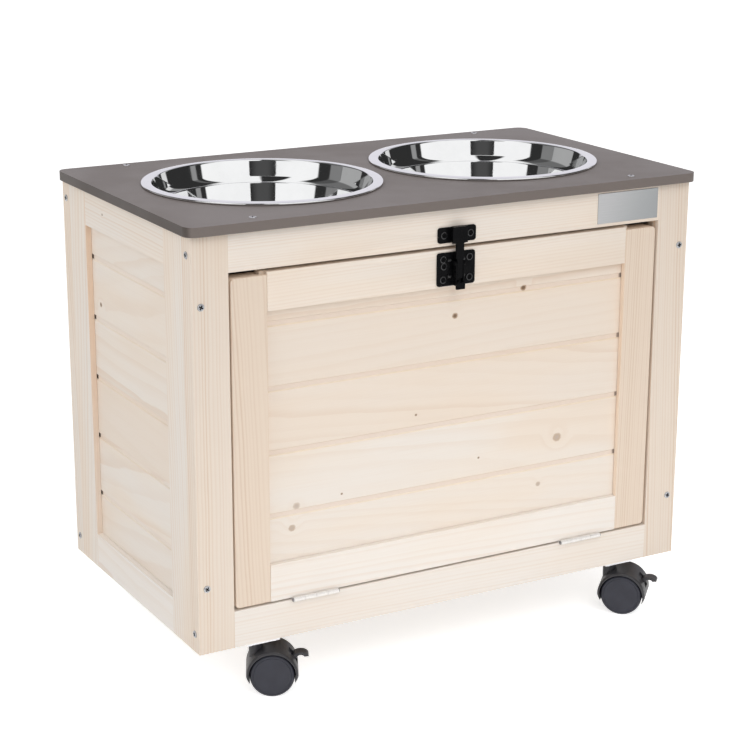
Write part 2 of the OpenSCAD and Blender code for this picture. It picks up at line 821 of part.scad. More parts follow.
module latch_hook() {
    neck_low = lever_pivot_z + cheek_r + handle_gap / 2;
    head_top = claw_z + hook_t;
    color(black) difference() {
        union() {
            rod_x(-strap_w / 2, strap_w / 2, hook_pivot_y, hook_pivot_z, barrel_r);
            box([-strap_w / 2, strap_front, hook_pivot_z], [strap_w / 2, strap_back, neck_low + eps]);
            box([-hook_neck_w / 2, strap_front, neck_low], [hook_neck_w / 2, strap_back, keeper_low + eps]);
            box([-hook_head_w / 2, strap_front, keeper_low], [hook_head_w / 2, strap_back, head_top]);
            box([-catch_w / 2, strap_back - eps, claw_z],
                [catch_w / 2, front_y - latch_plate_t - latch_clear, head_top]);
        }
        rod_x(-strap_w, strap_w, hook_pivot_y, hook_pivot_z, pivot_r + run_clear);
    }
}

// Castors. A castor stands in its own frame: the swivel axis is Z and its wheels trail along +X
module at_castor(i) {
    translate([CASTORS[i][0], CASTORS[i][1], 0]) rotate([0, 0, CASTORS[i][2]]) children();
}

module castor_plates() {
    w = castor_plate_w / 2;
    color(zinc) castor_drilled()
        for (c = CASTORS) translate([c[0], c[1], 0]) {
            box([-w, -w, castor_h - castor_plate_t], [w, w, castor_h]);
            translate([0, 0, kingpin_head_low]) {
                cylinder(r = kingpin_head_r, h = kingpin_head_t);
                cylinder(r = kingpin_r, h = castor_h - kingpin_head_low - eps);
            }
        }
}

module castor_screws() {
    color(zinc) at_castor_screws() screw(castor_plate_t + castor_screw_l);
}

// The hood is a round body with a neck, hollowed for the two wheels
module hood(i, braked) {
    recess_t = kingpin_head_t + 2 * swivel_gap;
    color(charcoal) at_castor(i) difference() {
        union() {
            difference() {
                union() {
                    rod_y(-hood_w / 2, hood_w / 2, trail, wheel_r, hood_out);
                    translate([0, 0, wheel_r]) cylinder(r = neck_r, h = neck_top - wheel_r);
                    if (braked) pedal_ears();
                }
                for (from = [-hood_w, web_t / 2])
                    rod_y(from, from + hood_w - web_t / 2, trail, wheel_r, hood_in);
                box([-hood_w, -hood_w, -hood_out], [2 * hood_w, hood_w, wheel_r - hood_drop]);
                if (braked) pedal_room();
            }
            rod_y(-web_t / 2, web_t / 2, trail, wheel_r, axle_r + boss_wall);
        }
        rod_y(-web_t, web_t, trail, wheel_r, axle_r + run_clear);
        translate([0, 0, recess_low]) cylinder(r = kingpin_r + run_clear, h = neck_top);
        translate([0, 0, recess_low]) cylinder(r = recess_r, h = recess_t);
    }
}

// Two ears beside the pedal, and the room that the pedal's barrel and cam need
module pedal_ears() {
    for (from = [-pedal_w / 2 - pedal_gap - ear_w, pedal_w / 2 + pedal_gap])
        rod_y(from, from + ear_w, pedal_x, pedal_z, trunnion_r + ear_wall);
}

module pedal_room() {
    half = pedal_w / 2 + pedal_gap;
    reach = half + trunnion_l + run_clear;
    cam_half = half - cam_edge;
    room = cam_l * sin(pedal_travel) + trunnion_r + pedal_gap;
    rod_y(-half, half, pedal_x, pedal_z, pedal_barrel_r + pedal_gap);
    rod_y(-reach, reach, pedal_x, pedal_z, trunnion_r + run_clear);
    translate([pedal_x, 0, pedal_z]) rotate([0, -pedal_angle, 0])
        box([-pedal_pivot_r + wheel_r, -cam_half, -room], [0, cam_half, room]);
}

module axle(i) {
    color(steel) at_castor(i) rod_y(-axle_end + wheel_gap, axle_end - wheel_gap, trail, wheel_r, axle_r);
}

// A wheel with a blind bore on its inner side and a faintly domed outer face
module wheel(i, side) {
    r = wheel_round;
    outline = concat(
        [[0, 0]],
        arc(wheel_r - r, r, r, -90, 0, 4),
        arc(wheel_r - r, wheel_w - wheel_dome - r, r, 0, 90, 4),
        [[0, wheel_w]]
    );
    color(charcoal) at_castor(i) translate([trail, side * wheel_in, wheel_r]) rotate([-side * 90, 0, 0])
        difference() {
            rotate_extrude() polygon(outline);
            translate([0, 0, -over]) cylinder(r = axle_r + run_clear, h = wheel_w - wheel_cap_t + over);
        }
}

// A brake pedal: an arched tread, a barrel with two trunnions and a cam that points at the wheels when locked
module brake_pedal(i) {
    half = pedal_w / 2;
    cam_half = half - cam_edge;
    reach = half + pedal_gap + trunnion_l;
    tread_in = pedal_arch_r - pedal_t;
    c = -(pedal_arch_r - pedal_t / 2) * [cos(pedal_start), sin(pedal_start)];
    tread = concat(
        arc(c[0], c[1], pedal_arch_r, pedal_start, pedal_end),
        arc(c[0], c[1], tread_in, pedal_end, pedal_start)
    );
    color(charcoal) at_castor(i) translate([pedal_x, 0, pedal_z]) {
        rotate([90, 0, 0]) linear_extrude(pedal_w, center = true) {
            circle(r = pedal_barrel_r);
            polygon(tread);
        }
        rod_y(-reach, reach, 0, 0, trunnion_r);
        rotate([0, -pedal_angle - pedal_travel, 0])
            box([-cam_l, -cam_half, -trunnion_r], [0, cam_half, trunnion_r]);
    }
}

top_plate();
bowl(-1);  // left_bowl
bowl(1);  // right_bowl
front_stile(-1);  // front_left_stile
front_stile(1);  // front_right_stile
front_top_rail();
front_bottom_rail();
back_stile(-1);  // back_left_stile
back_stile(1);  // back_right_stile
back_top_rail();
back_bottom_rail();
back_planks();
drilled() on_left() side_stile(1);  // left_front_stile
drilled() on_left() side_stile(-1);  // left_back_stile
on_left() side_top_rail();  // left_top_rail
on_left() side_bottom_rail();  // left_bottom_rail
on_left() side_planks();  // left_planks
drilled() on_right() side_stile(-1);  // right_front_stile
drilled() on_right() side_stile(1);  // right_back_stile
on_right() side_top_rail();  // right_top_rail
on_right() side_bottom_rail();  // right_bottom_rail
on_right() side_planks();  // right_planks
floor_panel();
floor_battens();
frame_screws();
label_plate();
flap_stile(-1);  // flap_left_stile
flap_stile(1);  // flap_right_stile
flap_top_rail();
flap_bottom_rail();
flap_planks();
hinge_frame_leaves();
hinge_flap_leaves();
hinge_pins();
latch_keeper();
latch_keeper_screws();
latch_base();
latch_base_screws();
latch_lever();
latch_hook();
castor_plates();
castor_screws();
hood(0, true);  // front_left_hood
axle(0);  // front_left_axle
wheel(0, -1);  // front_left_wheel_a
wheel(0, 1);  // front_left_wheel_b
hood(1, true);  // front_right_hood
axle(1);  // front_right_axle
wheel(1, -1);  // front_right_wheel_a
wheel(1, 1);  // front_right_wheel_b
hood(2, false);  // back_left_hood
axle(2);  // back_left_axle
wheel(2, -1);  // back_left_wheel_a
wheel(2, 1);  // back_left_wheel_b
hood(3, false);  // back_right_hood
axle(3);  // back_right_axle
wheel(3, -1);  // back_right_wheel_a
wheel(3, 1);  // back_right_wheel_b
brake_pedal(0);  // front_left_brake_pedal
brake_pedal(1);  // front_right_brake_pedal
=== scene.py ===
"""Looks of a pet feeder stand: a panelled spruce cabinet on castors with two steel bowls in a taupe top."""
import json
import math
import random
from collections import namedtuple

import bmesh
import bpy
from mathutils import Matrix, Vector


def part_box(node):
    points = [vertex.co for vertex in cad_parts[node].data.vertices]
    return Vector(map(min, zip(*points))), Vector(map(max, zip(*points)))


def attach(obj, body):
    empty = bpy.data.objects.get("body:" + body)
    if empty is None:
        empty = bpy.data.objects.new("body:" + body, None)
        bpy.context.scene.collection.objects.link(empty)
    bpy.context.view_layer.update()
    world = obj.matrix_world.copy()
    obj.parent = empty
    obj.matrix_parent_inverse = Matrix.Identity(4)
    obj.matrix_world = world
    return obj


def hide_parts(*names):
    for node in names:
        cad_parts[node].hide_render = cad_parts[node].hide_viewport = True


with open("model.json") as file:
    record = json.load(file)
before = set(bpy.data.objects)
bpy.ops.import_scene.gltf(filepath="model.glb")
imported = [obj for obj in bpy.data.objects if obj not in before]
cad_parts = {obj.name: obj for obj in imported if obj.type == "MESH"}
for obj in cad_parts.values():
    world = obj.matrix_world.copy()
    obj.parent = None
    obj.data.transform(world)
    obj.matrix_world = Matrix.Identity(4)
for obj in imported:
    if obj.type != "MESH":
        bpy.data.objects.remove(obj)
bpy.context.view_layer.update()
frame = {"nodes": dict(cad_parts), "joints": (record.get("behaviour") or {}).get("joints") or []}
nodes = frame["nodes"]
joints = {joint["name"]: joint for joint in frame["joints"]}
scene = bpy.context.scene

MM = 0.001

# Camera, fitted to the edges of the box in the photograph
CAMERA_PLACE = (-1.0507, -1.8624, 0.9048)
CAMERA_YAW = math.radians(29.43)
CAMERA_PITCH = math.radians(16.44)
CAMERA_ROLL = math.radians(0.19)
CAMERA_LENS = 94.5
CAMERA_SENSOR = 36

# Planks: pitch of the joints, the height of the lowest joint in the walls and in the flap, and how far a
# joint's groove reaches above it, how far its floor and its lower slope reach below it
PLANK_PITCH = 68 * MM
WALL_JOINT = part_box("front_left_stile")[0].z + 90.5 * MM
FLAP_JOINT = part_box("flap_left_stile")[0].z + 93 * MM
GROOVE_TOP = 1.4 * MM
GROOVE_FLOOR = 4.1 * MM
GROOVE_FOOT = 5.5 * MM
NOTCH = 2.2 * MM

# Marks of the wood: rings and their waves, a knot's length over its breadth and the tone from which its heart
# is dark, a joint groove's painted shade and highlight with their strengths and soft edges, and painted shade
# along a stile's edge
RING_WIDTH = 3.0 * MM
SLOW_WAVE = 6.0 * MM
FINE_WAVE = 1.2 * MM
KNOT_LENGTH = 1.15
DARK_KNOT = 0.65
GROOVE_SHADE_STRENGTH = 0.75
SLOPE_HIGHLIGHT_STRENGTH = 0.6
GROOVE_BLUR = 0.3 * MM
TOP_BLUR = 0.5 * MM
# Painted shade along a stile's edge: where it is full and where it ends, the heights over which it weakens
# towards the bottom, and its least share
EDGE_SHADE_FULL, EDGE_SHADE_END = 0.6 * MM, 1.4 * MM
EDGE_SHADE_LOW, EDGE_SHADE_HIGH = 0.12, 0.36
EDGE_SHADE_LEAST = 0.45
PLY_LAYER = 1.6 * MM

# Linear colours
WHITE = (1.0, 1.0, 1.0)
DARK = (0.0, 0.0, 0.0)
SPRUCE_EARLY = (0.875, 0.785, 0.690)
SPRUCE_LATE = (0.76, 0.60, 0.47)
SPRUCE_WARM = (0.840, 0.705, 0.580)
SPRUCE_LIT_PALE = (0.900, 0.855, 0.810)
SPRUCE_COOL = (0.86, 0.805, 0.745)
# Painted shade in a joint's groove, and a painted highlight on its lower slope, which faces up
GROOVE_SHADE_PINK = (0.80, 0.655, 0.555)
SLOPE_HIGHLIGHT_GOLD = (0.93, 0.77, 0.575)
NOTCH_SHADE_BROWN = (0.075, 0.045, 0.028)
EDGE_SHADE = (0.80, 0.57, 0.40)
KNOT_RING = (0.42, 0.27, 0.16)
KNOT_CORE = (0.15, 0.095, 0.06)
KNOT_HEART = (0.55, 0.45, 0.38)
PLY_PALE = (0.66, 0.52, 0.36)
PLY_DARK = (0.52, 0.38, 0.24)
TAUPE = (0.232, 0.201, 0.191)
TAUPE_DARK = (0.185, 0.160, 0.150)
TAUPE_EDGE_SHADE = (0.150, 0.124, 0.108)
TAUPE_END_SHADE = (0.060, 0.048, 0.042)
STEEL = (0.90, 0.905, 0.91)
STEEL_DULL = (0.864, 0.8688, 0.8736)
ZINC = (0.86, 0.86, 0.87)
ZINC_DULL = (0.70, 0.70, 0.72)
HINGE_ZINC = (0.86, 0.83, 0.80)
HINGE_DULL = (0.78, 0.75, 0.72)
SCREW_STEEL = (0.36, 0.365, 0.38)
SCREW_RIM_HIGHLIGHT = (0.62, 0.62, 0.64)
SCREW_DULL = (0.24, 0.24, 0.25)
BLACK = (0.003, 0.003, 0.0035)
BLACK_WORN = (0.007, 0.007, 0.0075)
BLACK_RUBBED = (0.045, 0.046, 0.048)
CHARCOAL = (0.032, 0.031, 0.034)
CHARCOAL_PALE = (0.044, 0.043, 0.047)
WHEEL_GREY = (0.022, 0.023, 0.033)
WHEEL_PALE = (0.028, 0.029, 0.041)
ALUMINIUM = (0.42, 0.42, 0.425)
ALUMINIUM_PALE = (0.49, 0.49, 0.495)
ALUMINIUM_SHADED = (0.28, 0.295, 0.30)


class Shader:
    """Short calls that build the node tree of a new material, or of a world."""

    def __init__(self, name, world=None):
        self.owner = world or bpy.data.materials.new(name)
        self.owner.use_nodes = True
        self.tree = self.owner.node_tree

    def put(self, socket, value):
        """Links a socket, or sets a plain value."""
        if isinstance(value, bpy.types.NodeSocket):
            self.tree.links.new(value, socket)
        elif isinstance(value, tuple) and len(socket.default_value) == 4:
            socket.default_value = (*value, 1.0)
        else:
            socket.default_value = value

    def finish(self, **values):
        """Sets inputs of the material's surface, with _ for a space in their names."""
        surface = self.tree.nodes["Principled BSDF"]
        for name, value in values.items():
            self.put(surface.inputs[name.replace("_", " ")], value)
        return self.owner

    def math(self, operation, a, b=0.0):
        node = self.tree.nodes.new("ShaderNodeMath")
        node.operation = operation
        self.put(node.inputs[0], a)
        self.put(node.inputs[1], b)
        return node.outputs[0]

    def plus(self, a, b):
        return self.math("ADD", a, b)

    def minus(self, a, b):
        return self.math("SUBTRACT", a, b)

    def times(self, a, b):
        return self.math("MULTIPLY", a, b)

    def over(self, a, b):
        return self.math("DIVIDE", a, b)

    def distance(self, a, b):
        return self.math("SQRT", self.plus(self.times(a, a), self.times(b, b)))

    def wave(self, value, height):
        """A value from 0 to 1 turned into a wave about 0."""
        return self.times(self.minus(value, 0.5), height)

    def split(self, vector):
        """The three parts of a vector or a colour."""
        node = self.tree.nodes.new("ShaderNodeSeparateXYZ")
        self.put(node.inputs[0], vector)
        return tuple(node.outputs)

    def coordinates(self, kind):
        return self.split(self.tree.nodes.new("ShaderNodeTexCoord").outputs[kind])

    def normal(self):
        """The three parts of the surface's direction in the part's frame at rest."""
        return self.coordinates("Normal")

    def place(self):
        """The three coordinates of a point in the part's frame at rest, in metres."""
        return self.coordinates("Object")

    def vector(self, x, y, z):
        node = self.tree.nodes.new("ShaderNodeCombineXYZ")
        self.put(node.inputs[0], x)
        self.put(node.inputs[1], y)
        self.put(node.inputs[2], z)
        return node.outputs[0]

    def noise(self, vector, scale=1.0, detail=2.0, roughness=0.5):
        node = self.tree.nodes.new("ShaderNodeTexNoise")
        self.put(node.inputs["Vector"], vector)
        node.inputs["Scale"].default_value = scale
        node.inputs["Detail"].default_value = detail
        node.inputs["Roughness"].default_value = roughness
        return node.outputs[0]

    def chance(self, number):
        """A random number from 0 to 1 for each whole number, and a random colour."""
        node = self.tree.nodes.new("ShaderNodeTexWhiteNoise")
        node.noise_dimensions = "1D"
        self.put(node.inputs["W"], number)
        return node.outputs[0], node.outputs[1]

    def step(self, value, low, high, first=0.0, last=1.0):
        """A smooth step of value from low to high."""
        node = self.tree.nodes.new("ShaderNodeMapRange")
        node.interpolation_type = "SMOOTHSTEP"
        self.put(node.inputs[0], value)
        for number, plain in enumerate((low, high, first, last), start=1):
            node.inputs[number].default_value = plain
        return node.outputs[0]

    def speckle(self, scale, detail, roughness=0.6):
        """A noise that fills the part's frame."""
        return self.noise(self.vector(*self.place()), scale, detail, roughness)

    def mix(self, factor, a, b):
        node = self.tree.nodes.new("ShaderNodeMix")
        node.data_type = "RGBA"
        self.put(node.inputs[0], factor)
        self.put(node.inputs[6], a)
        self.put(node.inputs[7], b)
        return node.outputs[2]

    def bump(self, height, distance, strength):
        node = self.tree.nodes.new("ShaderNodeBump")
        node.inputs["Strength"].default_value = strength
        node.inputs["Distance"].default_value = distance
        self.put(node.inputs["Height"], height)
        return node.outputs[0]


# A board's log: where its pith lies, how it leans, how marked its rings are and how warm it is
Grain = namedtuple("Grain", "across depth tilt lean shift figure warmth")


def board_grain(seed, figure, warmth):
    rng = random.Random(seed)
    across = rng.uniform(-0.05, 0.05)
    depth = rng.choice((-1, 1)) * rng.uniform(0.05, 0.12)
    tilt = rng.uniform(-0.03, 0.03)
    lean = rng.uniform(-0.03, 0.03)
    shift = rng.uniform(0, 50)
    return Grain(across, depth, tilt, lean, shift, figure, warmth)


def plank_grain(s, row, joint, seed, figure, warm_rows):
    """Each plank of a row comes from another log. row is the plank's number, counted from the lowest joint.
    warm_rows are the first and the last plank with a warmer colour."""
    luck, colour = s.chance(s.plus(row, float(seed)))
    first, second, third = s.split(colour)
    middle = s.plus(s.times(row, PLANK_PITCH), joint + PLANK_PITCH / 2)
    warm = s.times(s.step(row, warm_rows[0] - 0.6, warm_rows[0] - 0.4, 0.0, 0.5),
                   s.step(row, warm_rows[1] + 0.4, warm_rows[1] + 0.6, 1.0, 0.0))
    return Grain(
        across=s.plus(middle, s.wave(luck, 0.16)),
        depth=s.plus(s.times(first, 0.12), 0.05),
        tilt=s.wave(second, 0.05),
        lean=s.wave(third, 0.08),
        shift=s.times(luck, 50.0),
        figure=s.times(s.plus(s.times(second, 1.2), 0.4), figure),
        warmth=s.plus(s.times(third, 0.2), warm),
    )


def knot_marks(s, along, across, knots):
    """For each knot: the distance from it over its radius, ruffled a little, its radius and its tone."""
    marks = []
    for knot_along, knot_across, radius, tone in knots:
        size = radius * MM
        a = s.over(s.minus(along, knot_along * MM), size * KNOT_LENGTH)
        b = s.over(s.minus(across, knot_across * MM), size)
        ruffle = s.noise(s.vector(a, b, 0.0), 1.6)
        marks.append((s.plus(s.distance(a, b), s.wave(ruffle, 0.5)), size, tone))
    return marks


def spruce(name, axes, seed, warmth, figure, light, knots, joint=None, ends=None, warm_rows=None,
           groove_paint_strength=None, notch_shade=None, shaded_edge=None):
    """Planed spruce as a solid texture: rings around the axis of a log that the board was sawn from.
    axes names the directions along the grain, across the face and through the board. light below 1 paints
    shade on the faces to the front and the back. A row of planks has the height of its lowest joint, the two
    ends that show, the first and the last warm plank, the strength of the painted shade and highlight in its
    joints' grooves, and the darkness of the painted shade in their notches. The shaded edge is an axis, a
    place on it with painted shade, and the strength of that shade."""
    s = Shader(name)
    point = dict(zip("xyz", s.place()))
    along, across, depth = (point[axis] for axis in axes)
    if joint is None:
        grain = board_grain(seed, figure, warmth)
    else:
        rise = s.over(s.minus(point["z"], joint), PLANK_PITCH)
        nearest = s.math("FLOOR", s.plus(rise, 0.5))
        above = s.times(s.minus(rise, nearest), PLANK_PITCH)
        grain = plank_grain(s, s.math("FLOOR", rise), joint, seed, figure, warm_rows)

    # Distance from the pith of the log, with slow and fine waves
    v = s.minus(s.minus(across, grain.across), s.times(along, grain.tilt))
    w = s.minus(s.minus(depth, grain.depth), s.times(along, grain.lean))
    moved = s.plus(s.times(along, 2.6), grain.shift)
    slow = s.noise(s.vector(moved, s.times(v, 11.0), s.times(w, 11.0)))
    fine = s.noise(s.vector(s.times(moved, 6.0), s.times(v, 90.0), w))
    radius = s.plus(s.distance(v, w), s.wave(slow, SLOW_WAVE))
    radius = s.plus(radius, s.wave(fine, FINE_WAVE))
    marks = knot_marks(s, along, across, knots)
    for away, size, _ in marks:
        radius = s.plus(radius, s.step(away, 1.0, 5.0, size * 0.8, 0.0))

    # Late wood grows dark towards the outside of each ring
    width = s.noise(s.vector(s.times(radius, 55.0), grain.shift, 0.0), detail=1.0)
    rings = s.plus(s.over(radius, RING_WIDTH), s.times(width, 2.4))
    share = s.math("FRACT", rings)
    late = s.times(s.step(share, 0.35, 0.88), s.step(share, 0.92, 1.0, 1.0, 0.0))
    strength = s.chance(s.math("FLOOR", rings))[0]
    late = s.times(late, s.plus(s.times(strength, 0.80), 0.10))
    late = s.times(late, grain.figure)
    fibre = s.vector(s.times(along, 14.0), s.times(across, 1500.0), s.times(depth, 1500.0))
    fibre = s.noise(fibre, roughness=0.6)
    cloud = s.noise(s.vector(s.times(moved, 1.3), s.times(v, 16.0), w))
    colour = s.mix(s.step(cloud, 0.35, 0.68), SPRUCE_EARLY, SPRUCE_COOL)
    colour = s.mix(s.step(cloud, 0.50, 0.30, 0.0, 0.40), colour, SPRUCE_WARM)
    # Painted light: a negative warmth mixes a bottom rail towards a pale tone, as the floor's bounce lights it
    if warmth < 0:
        colour = s.mix(-warmth, colour, SPRUCE_LIT_PALE)
    else:
        colour = s.mix(grain.warmth, colour, SPRUCE_WARM)
    colour = s.mix(late, colour, SPRUCE_LATE)
    colour = s.mix(s.step(fibre, 0.42, 0.70, 0.0, 0.10), colour, SPRUCE_LATE)

    # Painted shade and highlight in the joints' grooves, painted shade in their notches, knots, painted shade
    # along stile edges and on the faces to the front and the back
    if joint is not None:
        # Painted shade over the groove's floor and upper slope, and a painted highlight on its lower slope
        groove_shade_band = s.times(s.step(above, -GROOVE_FLOOR - GROOVE_BLUR, -GROOVE_FLOOR),
                       s.step(above, GROOVE_TOP - TOP_BLUR, GROOVE_TOP, 1.0, 0.0))
        lit_slope = s.times(s.step(above, -GROOVE_FOOT - GROOVE_BLUR, -GROOVE_FOOT),
                       s.step(above, -GROOVE_FLOOR - GROOVE_BLUR, -GROOVE_FLOOR, 1.0, 0.0))
        colour = s.mix(s.times(groove_shade_band, GROOVE_SHADE_STRENGTH * groove_paint_strength), colour, GROOVE_SHADE_PINK)
        colour = s.mix(s.times(lit_slope, SLOPE_HIGHLIGHT_STRENGTH * groove_paint_strength), colour, SLOPE_HIGHLIGHT_GOLD)
        # Painted shade in the notches where a joint's groove meets the stiles
        notch = s.math("MAXIMUM", s.step(along, ends[0] + 0.6 * NOTCH, ends[0] + NOTCH, 1.0, 0.0),
                       s.step(along, ends[1] - NOTCH, ends[1] - 0.6 * NOTCH))
        colour = s.mix(s.times(notch, s.step(groove_shade_band, 0.4, 0.9, 0.0, notch_shade)), colour, NOTCH_SHADE_BROWN)
    for away, _, tone in marks:
        dark = tone > DARK_KNOT
        colour = s.mix(s.step(away, 0.80, 1.30, tone, 0.0), colour, KNOT_RING)
        heart = s.step(away, 0.40, 0.90, tone if dark else 0.7, 0.0)
        colour = s.mix(heart, colour, KNOT_CORE if dark else KNOT_HEART)
    # Painted shade along a stile's edge beside the recessed planks, weaker towards the bottom
    if shaded_edge:
        axis, place, tint = shaded_edge
        from_edge = s.math("ABSOLUTE", s.minus(point[axis], place))
        edge_shade_mask = s.step(from_edge, EDGE_SHADE_FULL, EDGE_SHADE_END, tint, 0.0)
        edge_shade_mask = s.times(edge_shade_mask, s.step(point["z"], EDGE_SHADE_LOW, EDGE_SHADE_HIGH, EDGE_SHADE_LEAST, 1.0))
        colour = s.mix(edge_shade_mask, colour, EDGE_SHADE)
    # Painted shade: the faces to the front and the back are mixed towards black
    if light < 1:
        painted_face_shade = s.step(s.math("ABSOLUTE", s.normal()[1]), 0.3, 0.7, 0.0, 1 - light)
        colour = s.mix(painted_face_shade, colour, DARK)
    height = s.plus(s.times(late, -0.6), s.times(fibre, 0.4))
    roughness = s.plus(s.times(fibre, 0.16), 0.50)
    return s.finish(Base_Color=colour, Roughness=roughness, Normal=s.bump(height, 0.08 * MM, 0.6),
                    Specular_IOR_Level=0.28)


def plywood():
    s = Shader("plywood")
    x, y, z = s.place()
    grain = s.noise(s.vector(s.times(x, 6.0), s.times(y, 160.0), z), 1.0, 4.0, 0.6)
    layer = s.math("FRACT", s.over(z, PLY_LAYER))
    colour = s.mix(s.step(grain, 0.3, 0.75), PLY_PALE, PLY_DARK)
    colour = s.mix(s.step(layer, 0.4, 0.6, 0.0, 0.15), colour, PLY_DARK)
    return s.finish(Base_Color=colour, Roughness=s.step(grain, 0.2, 0.8, 0.50, 0.66),
                    Normal=s.bump(grain, 0.08 * MM, 0.5))


def coated_board():
    """A taupe coat with fine specks, with painted shade on the narrow edges and the most painted shade on
    those of the two ends.
    """
    s = Shader("coated_board")
    speck = s.speckle(2600.0, 2.0)
    cloud = s.speckle(9.0, 3.0)
    colour = s.mix(s.step(speck, 0.35, 0.75, 0.0, 0.5), TAUPE, TAUPE_DARK)
    colour = s.mix(s.step(cloud, 0.35, 0.7, 0.0, 0.25), colour, TAUPE_DARK)
    x, _, z = s.normal()
    # Painted shade by the surface's direction: darker narrow edges, darkest at the two ends
    colour = s.mix(s.step(s.math("ABSOLUTE", z), 0.3, 0.8, 0.6, 0.0), colour, TAUPE_EDGE_SHADE)
    colour = s.mix(s.step(s.math("ABSOLUTE", x), 0.5, 0.9, 0.0, 0.8), colour, TAUPE_END_SHADE)
    return s.finish(Base_Color=colour, Roughness=s.step(cloud, 0.3, 0.7, 0.44, 0.54),
                    Normal=s.bump(speck, 0.05 * MM, 0.5), Specular_IOR_Level=0.25)


def polished_steel():
    s = Shader("polished_steel")
    smear = s.speckle(34.0, 3.0)
    colour = s.mix(s.step(smear, 0.3, 0.7), STEEL, STEEL_DULL)
    return s.finish(Base_Color=colour, Metallic=1.0, Roughness=s.step(smear, 0.4, 0.75, 0.035, 0.075))


def plated(name, bright, dull, metal=1.0):
    s = Shader(name)
    spangle = s.speckle(700.0, 3.0)
    colour = s.mix(s.step(spangle, 0.3, 0.7), bright, dull)
    return s.finish(Base_Color=colour, Metallic=metal, Roughness=s.step(spangle, 0.3, 0.7, 0.28, 0.42))


def black_steel(name, main, worn, shine):
    s = Shader(name)
    grain = s.speckle(1300.0, 2.0)
    colour = s.mix(s.step(grain, 0.4, 0.8), main, worn)
    return s.finish(Base_Color=colour, Roughness=s.step(grain, 0.3, 0.8, 0.22, 0.34),
                    Normal=s.bump(grain, 0.03 * MM, 0.5), Specular_IOR_Level=shine)


def moulded(name, main, pale):
    s = Shader(name)
    grain = s.speckle(1800.0, 2.0)
    cloud = s.speckle(60.0, 2.0, 0.5)
    colour = s.mix(s.step(cloud, 0.3, 0.7), main, pale)
    return s.finish(Base_Color=colour, Roughness=s.step(grain, 0.3, 0.8, 0.36, 0.50),
                    Normal=s.bump(grain, 0.05 * MM, 0.5), Specular_IOR_Level=0.4)


def brushed_aluminium():
    """Level brush lines, and a painted sheen that fades into painted shade across the label plate from its
    upper left corner.
    """
    s = Shader("brushed_aluminium")
    x, y, z = s.place()
    lines = s.noise(s.vector(s.times(x, 30.0), y, s.times(z, 4000.0)), 1.0, 3.0, 0.6)
    colour = s.mix(s.step(lines, 0.3, 0.7), ALUMINIUM, ALUMINIUM_PALE)
    # Painted sheen and shade: bright at the upper left corner, mixed darker towards the lower right
    low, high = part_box("label_plate")
    slant = s.minus(x, s.times(z, 0.5))
    painted_shade = s.step(slant, low.x - 0.5 * high.z, high.x - 0.5 * low.z, 0.0, 0.75)
    colour = s.mix(painted_shade, colour, ALUMINIUM_SHADED)
    return s.finish(Base_Color=colour, Metallic=1.0, Roughness=s.step(lines, 0.3, 0.7, 0.34, 0.46),
                    Normal=s.bump(lines, 0.02 * MM, 0.4))


# Materials shared by more than one piece
steel = polished_steel()
bright_zinc = plated("zinc", ZINC, ZINC_DULL)
hinge_zinc = plated("hinge_zinc", HINGE_ZINC, HINGE_DULL, 0.3)
screw_steel = plated("screw_steel", SCREW_STEEL, SCREW_DULL)
screw_rim = plated("screw_rim", SCREW_RIM_HIGHLIGHT, SCREW_STEEL)
black = black_steel("black_steel", BLACK, BLACK_WORN, 0.05)
rubbed_black = black_steel("rubbed_black", BLACK_WORN, BLACK_RUBBED, 0.5)
hood_plastic = moulded("hood_plastic", CHARCOAL, CHARCOAL_PALE)
wheel_plastic = moulded("wheel_plastic", WHEEL_GREY, WHEEL_PALE)

CORNERS = ("front_left", "front_right", "back_left", "back_right")

# Knots: place along and across the grain and radius, in millimetres, and tone
FLAP_KNOTS = [
    (4.5, 380, 2.9, 0.85), (90.5, 400, 3.0, 0.9), (139, 224.7, 4.3, 0.64), (37, 217.5, 1.2, 0.7),
    (-42, 278, 1.3, 0.68), (115.5, 174, 2.4, 0.5), (-184, 201.4, 3.4, 0.4), (-131, 205.4, 1.2, 0.68),
    (-189.4, 178.1, 3.2, 0.6),
]
LEFT_PLANK_KNOTS = [(84.6, 373, 2.5, 0.75)]
BOARD_KNOTS = {"left_top_rail": [(55.3, 478.3, 1.3, 0.8)]}

# Edges: the angles from which they look sharp and are rounded, the angle under which two faces count as one,
# the gaps that are closed, and the widths of the rounding
SHARP_ANGLE = math.radians(35)
BEVEL_ANGLE = math.radians(40)
FLAT_ANGLE = math.radians(1)
WELD_GAP = 0.01 * MM
PLANK_GAP = 0.25 * MM
BOARD_EASE = 1.0 * MM
PLANK_EASE = 0.35 * MM
PANEL_EASE = 0.5 * MM
TOP_EASE = 0.7 * MM
LABEL_EASE = 0.25 * MM
LATCH_EASE = 0.35 * MM


def ease(node, width, segments=2, close=WELD_GAP):
    """Rounds the sharp edges of a CAD node, and closes gaps that are narrower than close."""
    weld = nodes[node].modifiers.new("weld", "WELD")
    weld.merge_threshold = close
    flatten = nodes[node].modifiers.new("flatten", "DECIMATE")
    flatten.decimate_type = "DISSOLVE"
    flatten.angle_limit = FLAT_ANGLE
    bevel = nodes[node].modifiers.new("bevel", "BEVEL")
    bevel.width = width
    bevel.segments = segments
    bevel.limit_method = "ANGLE"
    bevel.angle_limit = BEVEL_ANGLE


def paint(node, material):
    """Gives a CAD node one material."""
    mesh = nodes[node].data
    mesh.materials.clear()
    mesh.materials.append(material)


# Boards: the node, its axes along, across and through the grain, its warmth and how marked its grain is
FRONT_UPRIGHT, FRONT_LEVEL = "zxy", "xzy"
SIDE_UPRIGHT, SIDE_LEVEL = "zyx", "yzx"
